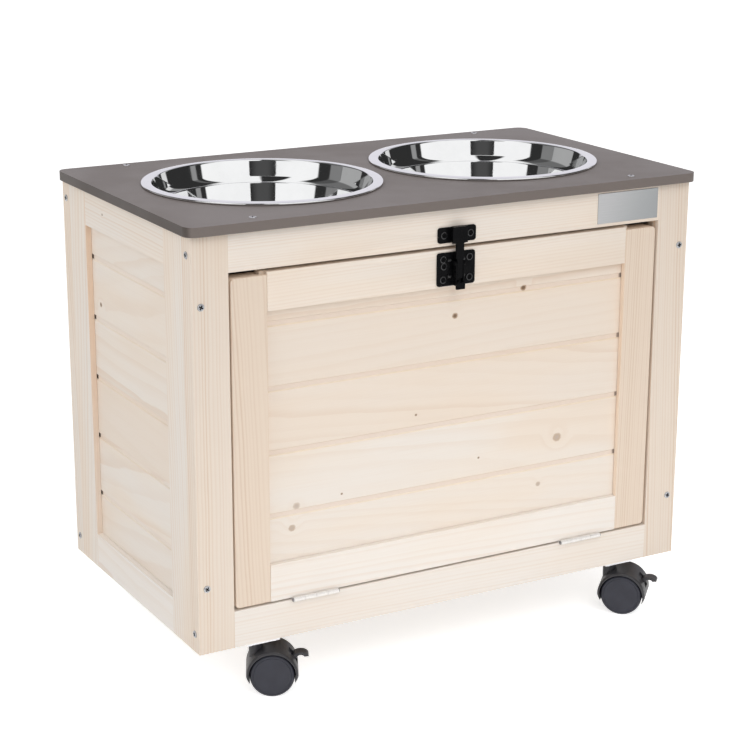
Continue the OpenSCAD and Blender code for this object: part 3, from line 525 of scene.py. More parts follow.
# A negative warmth is painted light: the bottom rails are mixed paler
BOARDS = [
    ("front_left_stile", FRONT_UPRIGHT, 0.60, 1.4), ("front_right_stile", FRONT_UPRIGHT, 0.60, 1.4),
    ("front_top_rail", FRONT_LEVEL, 0.20, 0.5), ("front_bottom_rail", FRONT_LEVEL, -0.45, 0.4),
    ("back_left_stile", FRONT_UPRIGHT, 0.30, 1.0), ("back_right_stile", FRONT_UPRIGHT, 0.30, 1.0),
    ("back_top_rail", FRONT_LEVEL, 0.10, 0.5), ("back_bottom_rail", FRONT_LEVEL, 0.10, 0.5),
    ("left_front_stile", SIDE_UPRIGHT, 0.10, 0.6), ("left_back_stile", SIDE_UPRIGHT, 0.10, 0.6),
    ("left_top_rail", SIDE_LEVEL, 0.10, 0.6), ("left_bottom_rail", SIDE_LEVEL, -0.6, 0.5),
    ("right_front_stile", SIDE_UPRIGHT, 0.15, 0.8), ("right_back_stile", SIDE_UPRIGHT, 0.15, 0.8),
    ("right_top_rail", SIDE_LEVEL, 0.10, 0.6), ("right_bottom_rail", SIDE_LEVEL, 0.10, 0.6),
    ("flap_left_stile", FRONT_UPRIGHT, 1.0, 1.6), ("flap_right_stile", FRONT_UPRIGHT, 1.0, 1.6),
    ("flap_top_rail", FRONT_LEVEL, 0.25, 0.4), ("flap_bottom_rail", FRONT_LEVEL, -0.3, 0.4),
    ("floor_battens", "yxz", 0.30, 0.8),
]
# Boards and rows with painted shade on their faces to the front and the back: the share of colour that stays
PAINTED_FACE_LIGHT = {
    "front_left_stile": 0.93, "front_right_stile": 0.93, "front_bottom_rail": 0.96, "flap_left_stile": 0.93,
    "flap_right_stile": 0.93, "flap_bottom_rail": 0.99, "flap_planks": 0.965,
}
# Rows of planks: the node, its axes, its lowest joint, the stiles at its two ends, its figure and its knots,
# its first and last warm plank, the strength of its joints' painted shade and highlight, and the darkness of
# the painted shade in its notches
PLANKS = [
    ("flap_planks", FRONT_LEVEL, FLAP_JOINT, ("flap_left_stile", "flap_right_stile"), 0.42, FLAP_KNOTS,
     (1, 9), 0.8, 0.55),
    ("left_planks", SIDE_LEVEL, WALL_JOINT, ("left_front_stile", "left_back_stile"), 0.5, LEFT_PLANK_KNOTS,
     (1, 1), 0.35, 0.9),
    ("right_planks", SIDE_LEVEL, WALL_JOINT, ("right_front_stile", "right_back_stile"), 0.5, (),
     (2, 2), 0.35, 0.9),
    ("back_planks", FRONT_LEVEL, WALL_JOINT, ("back_left_stile", "back_right_stile"), 0.5, (),
     (0, 0), 0.6, 0.9),
]
# Stile edges with painted shade: the axis, which end of the board, and how strong the shade is
SHADED_EDGES = {
    "left_back_stile": ("y", 0, 0.7), "right_back_stile": ("y", 0, 0.6),
    "flap_left_stile": ("x", 1, 0.2), "flap_right_stile": ("x", 0, 0.2),
}
# The numbers of the first board's and the first row's log
BOARD_SEED, PLANK_SEED = 11, 61


def dress_boards():
    for seed, (node, axes, warmth, figure) in enumerate(BOARDS, start=BOARD_SEED):
        edge = None
        if node in SHADED_EDGES:
            axis, end, tint = SHADED_EDGES[node]
            edge = (axis, getattr(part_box(node)[end], axis), tint)
        light = PAINTED_FACE_LIGHT.get(node, 1.0)
        knots = BOARD_KNOTS.get(node, ())
        paint(node, spruce("spruce_" + node, axes, seed, warmth, figure, light, knots, shaded_edge=edge))
        ease(node, BOARD_EASE)
    for seed, (node, axes, joint, stiles, figure, knots, *marks) in enumerate(PLANKS, start=PLANK_SEED):
        ends = [getattr(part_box(stile)[1 - i], axes[0]) for i, stile in enumerate(stiles)]
        light = PAINTED_FACE_LIGHT.get(node, 1.0)
        paint(node, spruce("spruce_" + node, axes, seed, 0.0, figure, light, knots, joint, ends, *marks))
        ease(node, PLANK_EASE, 1, PLANK_GAP)
    paint("floor_panel", plywood())
    ease("floor_panel", PANEL_EASE)
    paint("top_plate", coated_board())
    ease("top_plate", TOP_EASE)
    paint("label_plate", brushed_aluminium())
    ease("label_plate", LABEL_EASE)


def dress_metal():
    for node in ("hinge_frame_leaves", "hinge_flap_leaves"):
        paint(node, hinge_zinc)
    paint("hinge_pins", screw_steel)
    for node in ("castor_plates", "castor_screws", *(corner + "_axle" for corner in CORNERS)):
        paint(node, bright_zinc)
    for node in ("latch_keeper", "latch_base", "latch_lever", "latch_hook"):
        paint(node, black)
        ease(node, LATCH_EASE)


def arc(x, y, r, start, end, steps):
    """Points of an arc in a plane, from one angle in degrees to another."""
    angles = [math.radians(start + (end - start) * i / steps) for i in range(steps + 1)]
    return [(x + r * math.cos(a), y + r * math.sin(a)) for a in angles]


def ring(bm, matrix, radius, height, segments):
    """A ring of points about Z, or one point where the radius is 0."""
    count = 1 if radius < 1e-9 else segments
    turns = [2 * math.pi * i / segments for i in range(count)]
    points = [(radius * math.cos(t), radius * math.sin(t), height) for t in turns]
    return [bm.verts.new(matrix @ Vector(point)) for point in points]


def join_loops(bm, loops, material=0):
    """Joins each loop of points to the next. A loop of one point is a pole."""
    count = max(len(loop) for loop in loops)
    for low, high in zip(loops, loops[1:]):
        for i in range(count):
            j = (i + 1) % count
            face = [low[i % len(low)], low[j % len(low)], high[j % len(high)], high[i % len(high)]]
            face = [vert for n, vert in enumerate(face) if vert not in face[:n]]
            if len(face) > 2:
                bm.faces.new(face).material_index = material


def lathe(bm, profile, matrix, segments):
    """Turns a profile of (radius, height) points about Z."""
    join_loops(bm, [ring(bm, matrix, radius, height, segments) for radius, height in profile])


def drum(bm, matrix, radius, low, high, segments, edge=0.0):
    """A closed drum along Z, with eased ends where edge isn't 0."""
    side = [(radius, low), (radius, high)]
    if edge:
        side = [(radius - edge, low), (radius, low + edge), (radius, high - edge), (radius - edge, high)]
    lathe(bm, [(0, low), *side, (0, high)], matrix, segments)


def prism(bm, outline, low, high, matrix):
    """A closed block with an outline in the XY plane, from low to high along Z."""
    bottom = [bm.verts.new(matrix @ Vector((x, y, low))) for x, y in outline]
    top = [bm.verts.new(matrix @ Vector((x, y, high))) for x, y in outline]
    bm.faces.new(bottom[::-1])
    bm.faces.new(top)
    join_loops(bm, [bottom, top])


def object_of(name, bm, material, smooth=SHARP_ANGLE, more=()):
    """Makes an object of a bmesh, smooth but for its sharp edges. more are its further materials."""
    bmesh.ops.recalc_face_normals(bm, faces=bm.faces)
    mesh = bpy.data.meshes.new(name)
    bm.to_mesh(mesh)
    bm.free()
    for each in (material, *more):
        mesh.materials.append(each)
    mesh.shade_smooth()
    mesh.set_sharp_from_angle(angle=smooth)
    piece = bpy.data.objects.new(name, mesh)
    scene.collection.objects.link(piece)
    return piece


def join_in(piece, body, slot, *replaced):
    """Puts a piece on its body, with the nodes that it stands for. slot is not used."""
    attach(piece, body)
    if replaced:
        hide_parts(*replaced)


# Bowls: the rim and its lip, then the wall with the shoulder on which stacked bowls rest
RIM_WIDTH = 11.5 * MM
RIM_THICK = 2.4 * MM
RIM_RISE = 0.5 * MM
RIM_CROWN = 0.35 * MM
LIP = 2.5 * MM
BOWL_WALL = 1.0 * MM
UPPER_WALL = 15 * MM
UPPER_LEAN = math.radians(16)
SHOULDER_HOLLOW = 17 * MM
SHOULDER_LEAN = math.radians(48)
SHOULDER_EDGE = 2.2 * MM
LOWER_LEAN = math.radians(14)
BOWL_FILLET = 17 * MM
BOWL_SHARP = math.radians(60)
BOWL_SEGMENTS = 192
RIM_STEPS = 12
WALL_STEPS = 14


def trace(x, y, lean, moves):
    """Walks down a wall in steps of a straight length and an arc that ends at a new lean from the upright.
    The radius of an arc that bends towards the floor is positive."""
    points = [(x, y)]
    for length, radius, new_lean in moves:
        x -= length * math.sin(lean)
        y -= length * math.cos(lean)
        points.append((x, y))
        middle = (x - radius * math.cos(lean), y + radius * math.sin(lean))
        for i in range(1, WALL_STEPS + 1):
            a = lean + (new_lean - lean) * i / WALL_STEPS
            points.append((middle[0] + radius * math.cos(a), middle[1] - radius * math.sin(a)))
        x, y = points[-1]
        lean = new_lean
    return points


def bowl_moves(depth, wall):
    """The moves down the inside of a bowl, or down its outside where wall is the thickness of the sheet."""
    shoulder = SHOULDER_HOLLOW * (math.sin(SHOULDER_LEAN) - math.sin(UPPER_LEAN))
    edge = SHOULDER_EDGE * (math.sin(SHOULDER_LEAN) - math.sin(LOWER_LEAN))
    fillet = BOWL_FILLET * (1 - math.sin(LOWER_LEAN))
    lower = (depth - UPPER_WALL * math.cos(UPPER_LEAN) - shoulder - edge - fillet) / math.cos(LOWER_LEAN)
    return [(UPPER_WALL, SHOULDER_HOLLOW + wall, SHOULDER_LEAN), (0, wall - SHOULDER_EDGE, LOWER_LEAN),
            (lower, BOWL_FILLET + wall, math.pi / 2)]


def make_bowl(side):
    low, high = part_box(side + "_bowl")
    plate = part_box("top_plate")[1].z
    middle = (low + high) / 2
    floor = low.z - plate
    rim = (high.x - low.x) / 2
    mouth = rim - RIM_WIDTH
    crown = high.z - plate
    bead = RIM_THICK / 2
    gap = crown - RIM_RISE - RIM_THICK
    x = mouth + LIP * (1 - math.cos(UPPER_LEAN))
    y = crown - LIP + LIP * math.sin(UPPER_LEAN)
    depth = y - (floor + BOWL_WALL)
    inner = trace(x, y, UPPER_LEAN, bowl_moves(depth, 0))
    x += BOWL_WALL * math.cos(UPPER_LEAN)
    y -= BOWL_WALL * math.sin(UPPER_LEAN)
    outer = trace(x, y, UPPER_LEAN, bowl_moves(depth, BOWL_WALL))
    start, end = (rim - bead, crown - RIM_RISE), (mouth + LIP, crown)
    rim_top = []
    for i in range(1, RIM_STEPS):
        t = i / RIM_STEPS
        swell = RIM_CROWN * math.sin(math.pi * t)
        rim_top.append((start[0] + (end[0] - start[0]) * t, start[1] + (end[1] - start[1]) * t + swell))
    profile = [(0, floor)]
    profile += [point for point in outer[::-1] if point[1] < gap - BOWL_WALL]
    profile += [(mouth + BOWL_WALL, gap)]
    profile += arc(rim - bead, gap + bead, bead, -90, 90, RIM_STEPS)
    profile += rim_top
    profile += arc(mouth + LIP, crown - LIP, LIP, 90, 180 - math.degrees(UPPER_LEAN), RIM_STEPS)
    profile += inner[1:]
    profile += [(0, floor + BOWL_WALL)]
    bm = bmesh.new()
    lathe(bm, profile, Matrix.Translation((middle.x, middle.y, plate)), BOWL_SEGMENTS)
    bowl = object_of("bowl_" + side, bm, steel, BOWL_SHARP)
    join_in(bowl, side + "_bowl", "polished_steel", side + "_bowl")


# Screws: the recess and the head's profile are in parts of the head's radius and height, and the pointed end
# in parts of the shank's radius
FRAME_SCREW = {"head": 3.8 * MM, "height": 0.9 * MM, "shank": 1.75 * MM}
LATCH_SCREW = {"head": 4.0 * MM, "height": 0.9 * MM, "shank": 1.3 * MM}
CROSS_LENGTH = 0.66
CROSS_WIDTH = 0.17
CROSS_DEPTH = 0.95
CROSS_TAPER = 0.7
HEAD_PROFILE = ((1, 0), (1, 0.35), (0.95, 0.75), (0.72, 1))
TIP_LENGTH = 2
TIP_END = 0.2
SCREW_SEGMENTS = 32
# The numbers of a screw's materials: its head, its head's rim, its recess, and a lit head. On the frame screws
# the rim has a painted highlight, the recess painted shade in black, and the lit head a painted highlight in
# bright zinc
HEAD, RIM, RECESS, LIT_HEAD = range(4)


def screw(bm, matrix, length, head, height, shank, finish=HEAD, rim=RIM):
    """A screw with a cross recess. Its head stands on Z = 0 and its shank points down. finish and rim number
    the materials of its head and of its head's rim."""
    rings = [ring(bm, matrix, shank, 0, SCREW_SEGMENTS)]
    rings += [ring(bm, matrix, a * head, b * height, SCREW_SEGMENTS) for a, b in HEAD_PROFILE]
    join_loops(bm, rings[:-1], finish)
    join_loops(bm, rings[-2:], rim)
    a, b = CROSS_LENGTH * head, CROSS_WIDTH * head
    quarter = [(a, -b), (a, b), (b, b)]
    cross = []
    for c, s in ((1, 0), (0, 1), (-1, 0), (0, -1)):
        cross += [(c * x - s * y, s * x + c * y) for x, y in quarter]
    depth = (1 - CROSS_DEPTH) * height
    mouth = [bm.verts.new(matrix @ Vector((x, y, height))) for x, y in cross]
    floor = [bm.verts.new(matrix @ Vector((CROSS_TAPER * x, CROSS_TAPER * y, depth))) for x, y in cross]
    edges = [bm.edges.new((mouth[i - 1], mouth[i])) for i in range(len(mouth))]
    top = rings[-1]
    edges += [bm.edges.get((top[i - 1], top[i])) for i in range(len(top))]
    for face in bmesh.ops.triangle_fill(bm, use_beauty=True, edges=edges)["geom"]:
        if isinstance(face, bmesh.types.BMFace):
            face.material_index = finish
    join_loops(bm, [floor, mouth], RECESS)
    bm.faces.new(floor).material_index = RECESS
    tip = ring(bm, matrix, shank, TIP_LENGTH * shank - length, SCREW_SEGMENTS)
    end = ring(bm, matrix, TIP_END * shank, -length, SCREW_SEGMENTS)
    join_loops(bm, [end, tip, rings[0]])
    bm.faces.new(end[::-1])


def pointing(place, direction, twist):
    """A matrix whose Z points in a direction, with a twist about it."""
    turn = Vector(direction).to_track_quat("Z", "Y").to_matrix().to_4x4()
    return Matrix.Translation(place) @ turn @ Matrix.Rotation(twist, 4, "Z")


# Lengths of screws, insets from a stile's ends and from the cabinet's sides, the latch's fifth screw, to the
# right of and below the upper left one, and the most that a head is turned, with the draws' seeds
STILE_SCREW_LENGTH = 45 * MM
STILE_SCREW_INSET = 71 * MM
RAIL_SCREW_LENGTH = 56 * MM
PLATE_SCREW_LENGTH = 25 * MM
PLATE_SCREW_INSET = 72 * MM
LATCH_SCREW_LENGTH = 11.5 * MM
FIFTH_SCREW = (0.8 * MM, 7.4 * MM)
TWIST = 1.5
FRAME_SEED, LATCH_SEED = 5, 8


def make_frame_screws():
    rng = random.Random(FRAME_SEED)
    left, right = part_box("front_left_stile"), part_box("front_right_stile")
    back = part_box("back_left_stile")
    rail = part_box("front_top_rail")
    plate_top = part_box("top_plate")[1].z
    board = left[1].y - left[0].y
    width = rail[1].z - rail[0].z
    bottom, top = left[0].z, left[1].z
    bm = bmesh.new()
    for side, x in ((-1, left[0].x), (1, right[1].x)):
        for way, y in ((-1, left[0].y), (1, back[1].y)):
            middle_y = y - way * board / 2
            for z in (bottom + STILE_SCREW_INSET, top - STILE_SCREW_INSET):
                place = pointing((x - side * board / 2, y, z), (0, way, 0), rng.uniform(0, TWIST))
                screw(bm, place, STILE_SCREW_LENGTH, **FRAME_SCREW)
            for z in (bottom + width / 2, top - width / 2):
                place = pointing((x, middle_y, z), (side, 0, 0), rng.uniform(0, TWIST))
                screw(bm, place, RAIL_SCREW_LENGTH, **FRAME_SCREW)
            spot = (x - side * PLATE_SCREW_INSET, middle_y, plate_top)
            place = pointing(spot, (0, 0, 1), rng.uniform(0, TWIST))
            # Painted highlight: the heads in the top are made of bright zinc
            screw(bm, place, PLATE_SCREW_LENGTH, **FRAME_SCREW, finish=LIT_HEAD, rim=LIT_HEAD)
    # Painted highlight on the frame screws' rims, and painted shade in black in their cross recesses
    screws = object_of("cross_head_screws", bm, screw_steel, more=(screw_rim, black, bright_zinc))
    join_in(screws, "cabinet", "zinc", "frame_screws")


def make_latch_screws():
    """The keeper has one row of screws. The base plate has two rows, and a fifth screw."""
    rng = random.Random(LATCH_SEED)
    head = LATCH_SCREW["head"]
    for plate, body, rows in (("latch_keeper", "cabinet", 1), ("latch_base", "flap", 2)):
        low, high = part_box(plate + "_screws")
        face = low.y + LATCH_SCREW["height"]
        heights = [(low.z + high.z) / 2] if rows == 1 else [high.z - head, low.z + head]
        places = [(x, z) for x in (low.x + head, high.x - head) for z in heights]
        if rows == 2:
            places.append((low.x + head + FIFTH_SCREW[0], high.z - head - FIFTH_SCREW[1]))
        bm = bmesh.new()
        for x, z in places:
            place = pointing((x, face, z), (0, -1, 0), rng.uniform(0, TWIST))
            screw(bm, place, LATCH_SCREW_LENGTH, **LATCH_SCREW)
        screws = object_of(plate + "_cross_heads", bm, black, more=(rubbed_black, black))
        join_in(screws, body, "black_steel", plate + "_screws")


# Knuckles beside the latch's lever: radius, edge, how many radii they stand off the base plate, drops from
# its upper edge, both ends' reach from its middle, and its thickness
KNUCKLE_RADIUS = 1.6 * MM
KNUCKLE_EDGE = 0.4 * MM
KNUCKLE_STAND = 0.7
KNUCKLE_DROPS = (8.1 * MM, 25.3 * MM)
KNUCKLE_ENDS = ((-11 * MM, -7.2 * MM), (7.2 * MM, 9.5 * MM))
LATCH_PLATE = 1.5 * MM


def make_latch_knuckles():
    low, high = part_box("latch_base")
    middle = (low.x + high.x) / 2
    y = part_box("flap_left_stile")[0].y - LATCH_PLATE - KNUCKLE_STAND * KNUCKLE_RADIUS
    along = Matrix.Rotation(math.pi / 2, 4, "Y")
    bm = bmesh.new()
    for drop in KNUCKLE_DROPS:
        for start, end in KNUCKLE_ENDS:
            place = Matrix.Translation((middle + start, y, high.z - drop)) @ along
            drum(bm, place, KNUCKLE_RADIUS, 0, end - start, 24, KNUCKLE_EDGE)
    knuckles = object_of("latch_knuckles", bm, rubbed_black)
    join_in(knuckles, "flap", "black_steel")


# Castor wheels: the bore and the groove round the face, which swells by the dome towards the middle
WHEEL_RADIUS = 23.5 * MM
WHEEL_WIDTH = 18.5 * MM
WHEEL_INNER = 2.9 * MM
WHEEL_EDGE = 2.5 * MM
WHEEL_DOME = 0.8 * MM
WHEEL_SEGMENTS = 96
AXLE_BORE = 3.05 * MM
BORE_DEPTH = 0.82 * WHEEL_WIDTH
FACE_GROOVE = 0.87 * WHEEL_RADIUS
FACE_GROOVE_WIDTH = 0.9 * MM
FACE_GROOVE_DEPTH = 0.4 * MM
FACE_GROOVE_LIP = 0.05 * MM
TRAIL = 17 * MM
# Hoods: the shell, its slim tips, the neck, the wheels' room in it, the web between the wheels and the pedal's
# slot. Angles are in degrees about the axle.
HOOD_INNER = 24.9 * MM
HOOD_OUTER = 27.5 * MM
HOOD_HALF = 22.5 * MM
HOOD_SHOULDER = 4.5 * MM
HOOD_SIDE = 0.25
HOOD_START, HOOD_END = -19, 199
HOOD_STEPS = 72
HOOD_TIP = 0.30
HOOD_TAPER = 9
HOOD_NARROW = 4 * MM
NECK_RADIUS = 7.4 * MM
NECK_FOOT = 27 * MM
NECK_EDGE = 0.6 * MM
ROOM_START = WHEEL_INNER - 0.4 * MM
ROOM_RADIUS = HOOD_INNER + 0.8 * MM
WEB_HALF = ROOM_START - 0.1 * MM
WEB_RADIUS = HOOD_INNER + 0.5 * MM
WEB_DROP = 8 * MM
SLOT_INNER = HOOD_INNER + 0.7 * MM
SLOT_OUTER = HOOD_OUTER + 6 * MM
SLOT_START, SLOT_END = 14, 50
# Brake pedals: a curved, flattened bar on a barrel
PEDAL_HALF = 6 * MM
PEDAL_PLAY = 0.6 * MM
PEDAL_RADIUS = 8.5 * MM
PEDAL_THICK = 4.8 * MM
PEDAL_START, PEDAL_END = 160, 10
PEDAL_FLATNESS = 0.64
PEDAL_EDGE = 0.8 * MM
BARREL_RADIUS = 2.4 * MM
BARREL_HALF = PEDAL_HALF - 0.05 * MM
BARREL_EDGE = 0.5 * MM


def castor_matrix(corner):
    """The castor's own frame: Z is its swivel axis and its wheels trail along X."""
    place = joints[corner + "_swivel"]["pos_m"]
    axle = joints[corner + "_wheel_a_spin"]["axis"]
    turn = math.atan2(-axle[0], axle[1])
    return Matrix.Translation((place[0], place[1], 0)) @ Matrix.Rotation(turn, 4, "Z")


def axle_matrix(corner, side):
    """Z runs along the axle from the middle of the castor outwards."""
    turn = Matrix.Rotation(-side * math.pi / 2, 4, "X")
    return castor_matrix(corner) @ Matrix.Translation((TRAIL, 0, WHEEL_RADIUS)) @ turn


def make_wheel(corner, name, side):
    r = WHEEL_RADIUS
    face = WHEEL_WIDTH - WHEEL_DOME
    floor = face - FACE_GROOVE_DEPTH
    half = 0.5 * FACE_GROOVE_WIDTH
    profile = [(0, BORE_DEPTH), (AXLE_BORE, BORE_DEPTH), (AXLE_BORE, 0), (r - WHEEL_EDGE, 0)]
    profile += arc(r - WHEEL_EDGE, WHEEL_EDGE, WHEEL_EDGE, -90, 0, 8)
    profile += arc(r - WHEEL_EDGE, face - WHEEL_EDGE, WHEEL_EDGE, 0, 90, 8)
    profile += [(FACE_GROOVE + FACE_GROOVE_WIDTH, face), (FACE_GROOVE + half, floor)]
    profile += [(FACE_GROOVE - half, floor), (FACE_GROOVE - FACE_GROOVE_WIDTH, face + FACE_GROOVE_LIP)]
    profile += [(0.6 * r, face + 0.55 * WHEEL_DOME), (0.3 * r, face + 0.88 * WHEEL_DOME), (0, WHEEL_WIDTH)]
    bm = bmesh.new()
    place = axle_matrix(corner, side) @ Matrix.Translation((0, 0, WHEEL_INNER))
    lathe(bm, profile, place, WHEEL_SEGMENTS)
    wheel = object_of(f"{corner}_disc_{name}", bm, wheel_plastic)
    body = f"{corner}_wheel_{name}"
    join_in(wheel, body, "castor_plastic", body)


def combine(piece, other, operation):
    """Adds or cuts one closed mesh with another, which is then removed."""
    change = piece.modifiers.new("combine", "BOOLEAN")
    change.operation = operation
    change.object = other
    change.solver = "EXACT"
    graph = bpy.context.evaluated_depsgraph_get()
    mesh = bpy.data.meshes.new_from_object(piece.evaluated_get(graph))
    piece.modifiers.clear()
    piece.data = mesh
    bpy.data.objects.remove(other)


def hood_shell(matrix):
    """The shell over the wheels: a rounded section swept round the axle, thinner towards its two tips."""
    bm = bmesh.new()
    loops = []
    for i in range(HOOD_STEPS + 1):
        t = i / HOOD_STEPS
        angle = math.radians(HOOD_START + (HOOD_END - HOOD_START) * t)
        slim = min(1.0, HOOD_TIP + HOOD_TAPER * min(t, 1 - t))
        thick = (HOOD_OUTER - HOOD_INNER) * slim
        half = HOOD_HALF - (1 - slim) * HOOD_NARROW
        shoulder = [(half - HOOD_SHOULDER * (1 - c), HOOD_SIDE * thick + (1 - HOOD_SIDE) * thick * s)
                    for c, s in arc(0, 0, 1, 0, 90, 6)]
        section = [(-half, 0)]
        section += [(-y, rise) for y, rise in shoulder]
        section += shoulder[::-1]
        section += [(half, 0)]
        loop = []
        for y, rise in section:
            r = HOOD_INNER + rise
            point = (TRAIL + r * math.cos(angle), y, WHEEL_RADIUS + r * math.sin(angle))
            loop.append(bm.verts.new(matrix @ Vector(point)))
        loops.append(loop)
    join_loops(bm, loops)
    bm.faces.new(loops[0][::-1])
    bm.faces.new(loops[-1])
    return bm


def make_hood(corner, braked):
    matrix = castor_matrix(corner)
    sideways = matrix @ Matrix.Rotation(math.pi / 2, 4, "X")
    hood = object_of(corner + "_fairing", hood_shell(matrix), hood_plastic)

    # The neck, cut free of the wheels before it joins the shell
    neck_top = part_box(corner + "_hood")[1].z
    profile = [(0, NECK_FOOT), (NECK_RADIUS, NECK_FOOT), (NECK_RADIUS, neck_top - NECK_EDGE)]
    profile += [(NECK_RADIUS - NECK_EDGE, neck_top), (0, neck_top)]
    bm = bmesh.new()
    lathe(bm, profile, matrix, 64)
    neck = object_of("neck", bm, hood_plastic)
    for side in (-1, 1):
        bm = bmesh.new()
        drum(bm, axle_matrix(corner, side), ROOM_RADIUS, ROOM_START, 2 * HOOD_HALF, WHEEL_SEGMENTS)
        combine(neck, object_of("wheel_room", bm, hood_plastic), "DIFFERENCE")
    combine(hood, neck, "UNION")

    # The web between the wheels, without its lower part
    bm = bmesh.new()
    drum(bm, axle_matrix(corner, 1), WEB_RADIUS, -WEB_HALF, WEB_HALF, WHEEL_SEGMENTS)
    web = object_of("web", bm, hood_plastic)
    reach = 2 * HOOD_OUTER
    top = WHEEL_RADIUS - WEB_DROP
    outline = [(-reach, -reach), (reach * 2, -reach), (reach * 2, top), (-reach, top)]
    bm = bmesh.new()
    prism(bm, outline, -reach, reach, sideways)
    combine(web, object_of("lower_half", bm, hood_plastic), "DIFFERENCE")
    combine(hood, web, "UNION")
    if braked:
        slot = PEDAL_HALF + PEDAL_PLAY
        outline = arc(TRAIL, WHEEL_RADIUS, SLOT_INNER, SLOT_START, SLOT_END, 12)
        outline += arc(TRAIL, WHEEL_RADIUS, SLOT_OUTER, SLOT_END, SLOT_START, 12)
        bm = bmesh.new()
        prism(bm, outline, -slot, slot, sideways)
        combine(hood, object_of("pedal_slot", bm, hood_plastic), "DIFFERENCE")
    hood.data.shade_smooth()
    hood.data.set_sharp_from_angle(angle=SHARP_ANGLE)
    join_in(hood, corner + "_castor", "castor_plastic", corner + "_hood")


def make_pedal(corner):
    castor = castor_matrix(corner)
    pivot = castor.inverted() @ Vector(joints[corner + "_brake_press"]["pos_m"])
    matrix = castor @ Matrix.Translation((pivot.x, 0, pivot.z)) @ Matrix.Rotation(math.pi / 2, 4, "X")
    middle = PEDAL_RADIUS - PEDAL_THICK / 2
    start = math.radians(PEDAL_START)
    c = (-middle * math.cos(start), -middle * math.sin(start))
    outline = arc(*c, PEDAL_RADIUS, PEDAL_START, PEDAL_END, 14)
    outline += arc(*c, PEDAL_RADIUS - PEDAL_THICK, PEDAL_END, PEDAL_START, 14)
    outline = [(x, PEDAL_FLATNESS * y) for x, y in outline]
    bm = bmesh.new()
    prism(bm, outline, -PEDAL_HALF, PEDAL_HALF, matrix)
    sharp = [e for e in bm.edges if e.calc_face_angle(0) > BEVEL_ANGLE]
    bmesh.ops.bevel(bm, geom=sharp, offset=PEDAL_EDGE, segments=3, profile=0.5, affect="EDGES")
    drum(bm, matrix, BARREL_RADIUS, -BARREL_HALF, BARREL_HALF, 32, BARREL_EDGE)
    pedal = object_of(corner + "_foot_lever", bm, hood_plastic)
    join_in(pedal, corner + "_brake", "castor_plastic", corner + "_brake_pedal")


def make_castors():
    for corner in CORNERS:
        braked = corner.startswith("front")
        make_hood(corner, braked)
        make_wheel(corner, "a", -1)
        make_wheel(corner, "b", 1)
        if braked:
            make_pedal(corner)


# Floor, light and camera
FLOOR_SIZE = 60.0
FLOOR_GREY = 0.85
FLOOR_GLOW = 0.67
AMBIENT = 0.55
# What polished metal sees. Bearings are in degrees from the camera, towards its left. Screens have two ends
# and a brightness. Beside the front one they dim upwards, and under the ceiling the studio is dark.
SCREENS = [
    (-137, -127, 0.75), (-88, -81, 0.30), (-74, 62, 1.0), (77, 93, 0.22), (93, 127, 0.40), (141, 178, 0.25),
]
SCREEN_BLUR = 1
SIDE_DIM = 0.4
CEILING_END, CEILING_BLUR = 138, 3
BACKDROP_START, BACKDROP_BLUR = 145, 5
BACKDROP = (0.79, 0.775, 0.835)
BOOM_START, BOOM_END, BOOM_BLUR = -6, 32, 3
DARK_STUDIO = 0.03
# The dark figure of the camera and its stand
FIGURE_WIDTH = 1.2
FIGURE_HEIGHT = 2.1
FIGURE_BACK = 0.1
FIGURE_DARK = 0.030
FIGURE_PALE = 0.075
# Lamps: name, place, what they face, width, height and power
LAMPS = [
    ("key", (-0.4, -2.6, 2.6), (0, 0, 0.3), 2.2, 2.2, 30.5),
    ("left", (-2.8, -0.6, 1.8), (0, 0, 0.3), 2.2, 2.2, 22.5),
    ("low", (0.05, -0.65, 0.11), (0.05, -0.2, 0.10), 1.3, 0.12, 0.8),
]


def make_floor():
    """A pale floor that shows white to the camera, but for the object's shadow."""
    bm = bmesh.new()
    bmesh.ops.create_grid(bm, x_segments=1, y_segments=1, size=FLOOR_SIZE / 2)
    s = Shader("floor")
    rays = s.tree.nodes.new("ShaderNodeLightPath").outputs
    seen = s.math("MAXIMUM", s.math("MAXIMUM", rays["Is Camera Ray"], rays["Is Glossy Ray"]),
                  rays["Is Transmission Ray"])
    material = s.finish(Base_Color=(FLOOR_GREY,) * 3, Roughness=0.9, Specular_IOR_Level=0.0,
                        Emission_Color=WHITE, Emission_Strength=s.times(seen, FLOOR_GLOW))
    floor = object_of("floor", bm, material)


def bearing_step(s, bearing, degrees, blur, first=0.0, last=1.0):
    """A smooth step at a bearing."""
    return s.step(bearing, math.radians(degrees - blur), math.radians(degrees + blur), first, last)


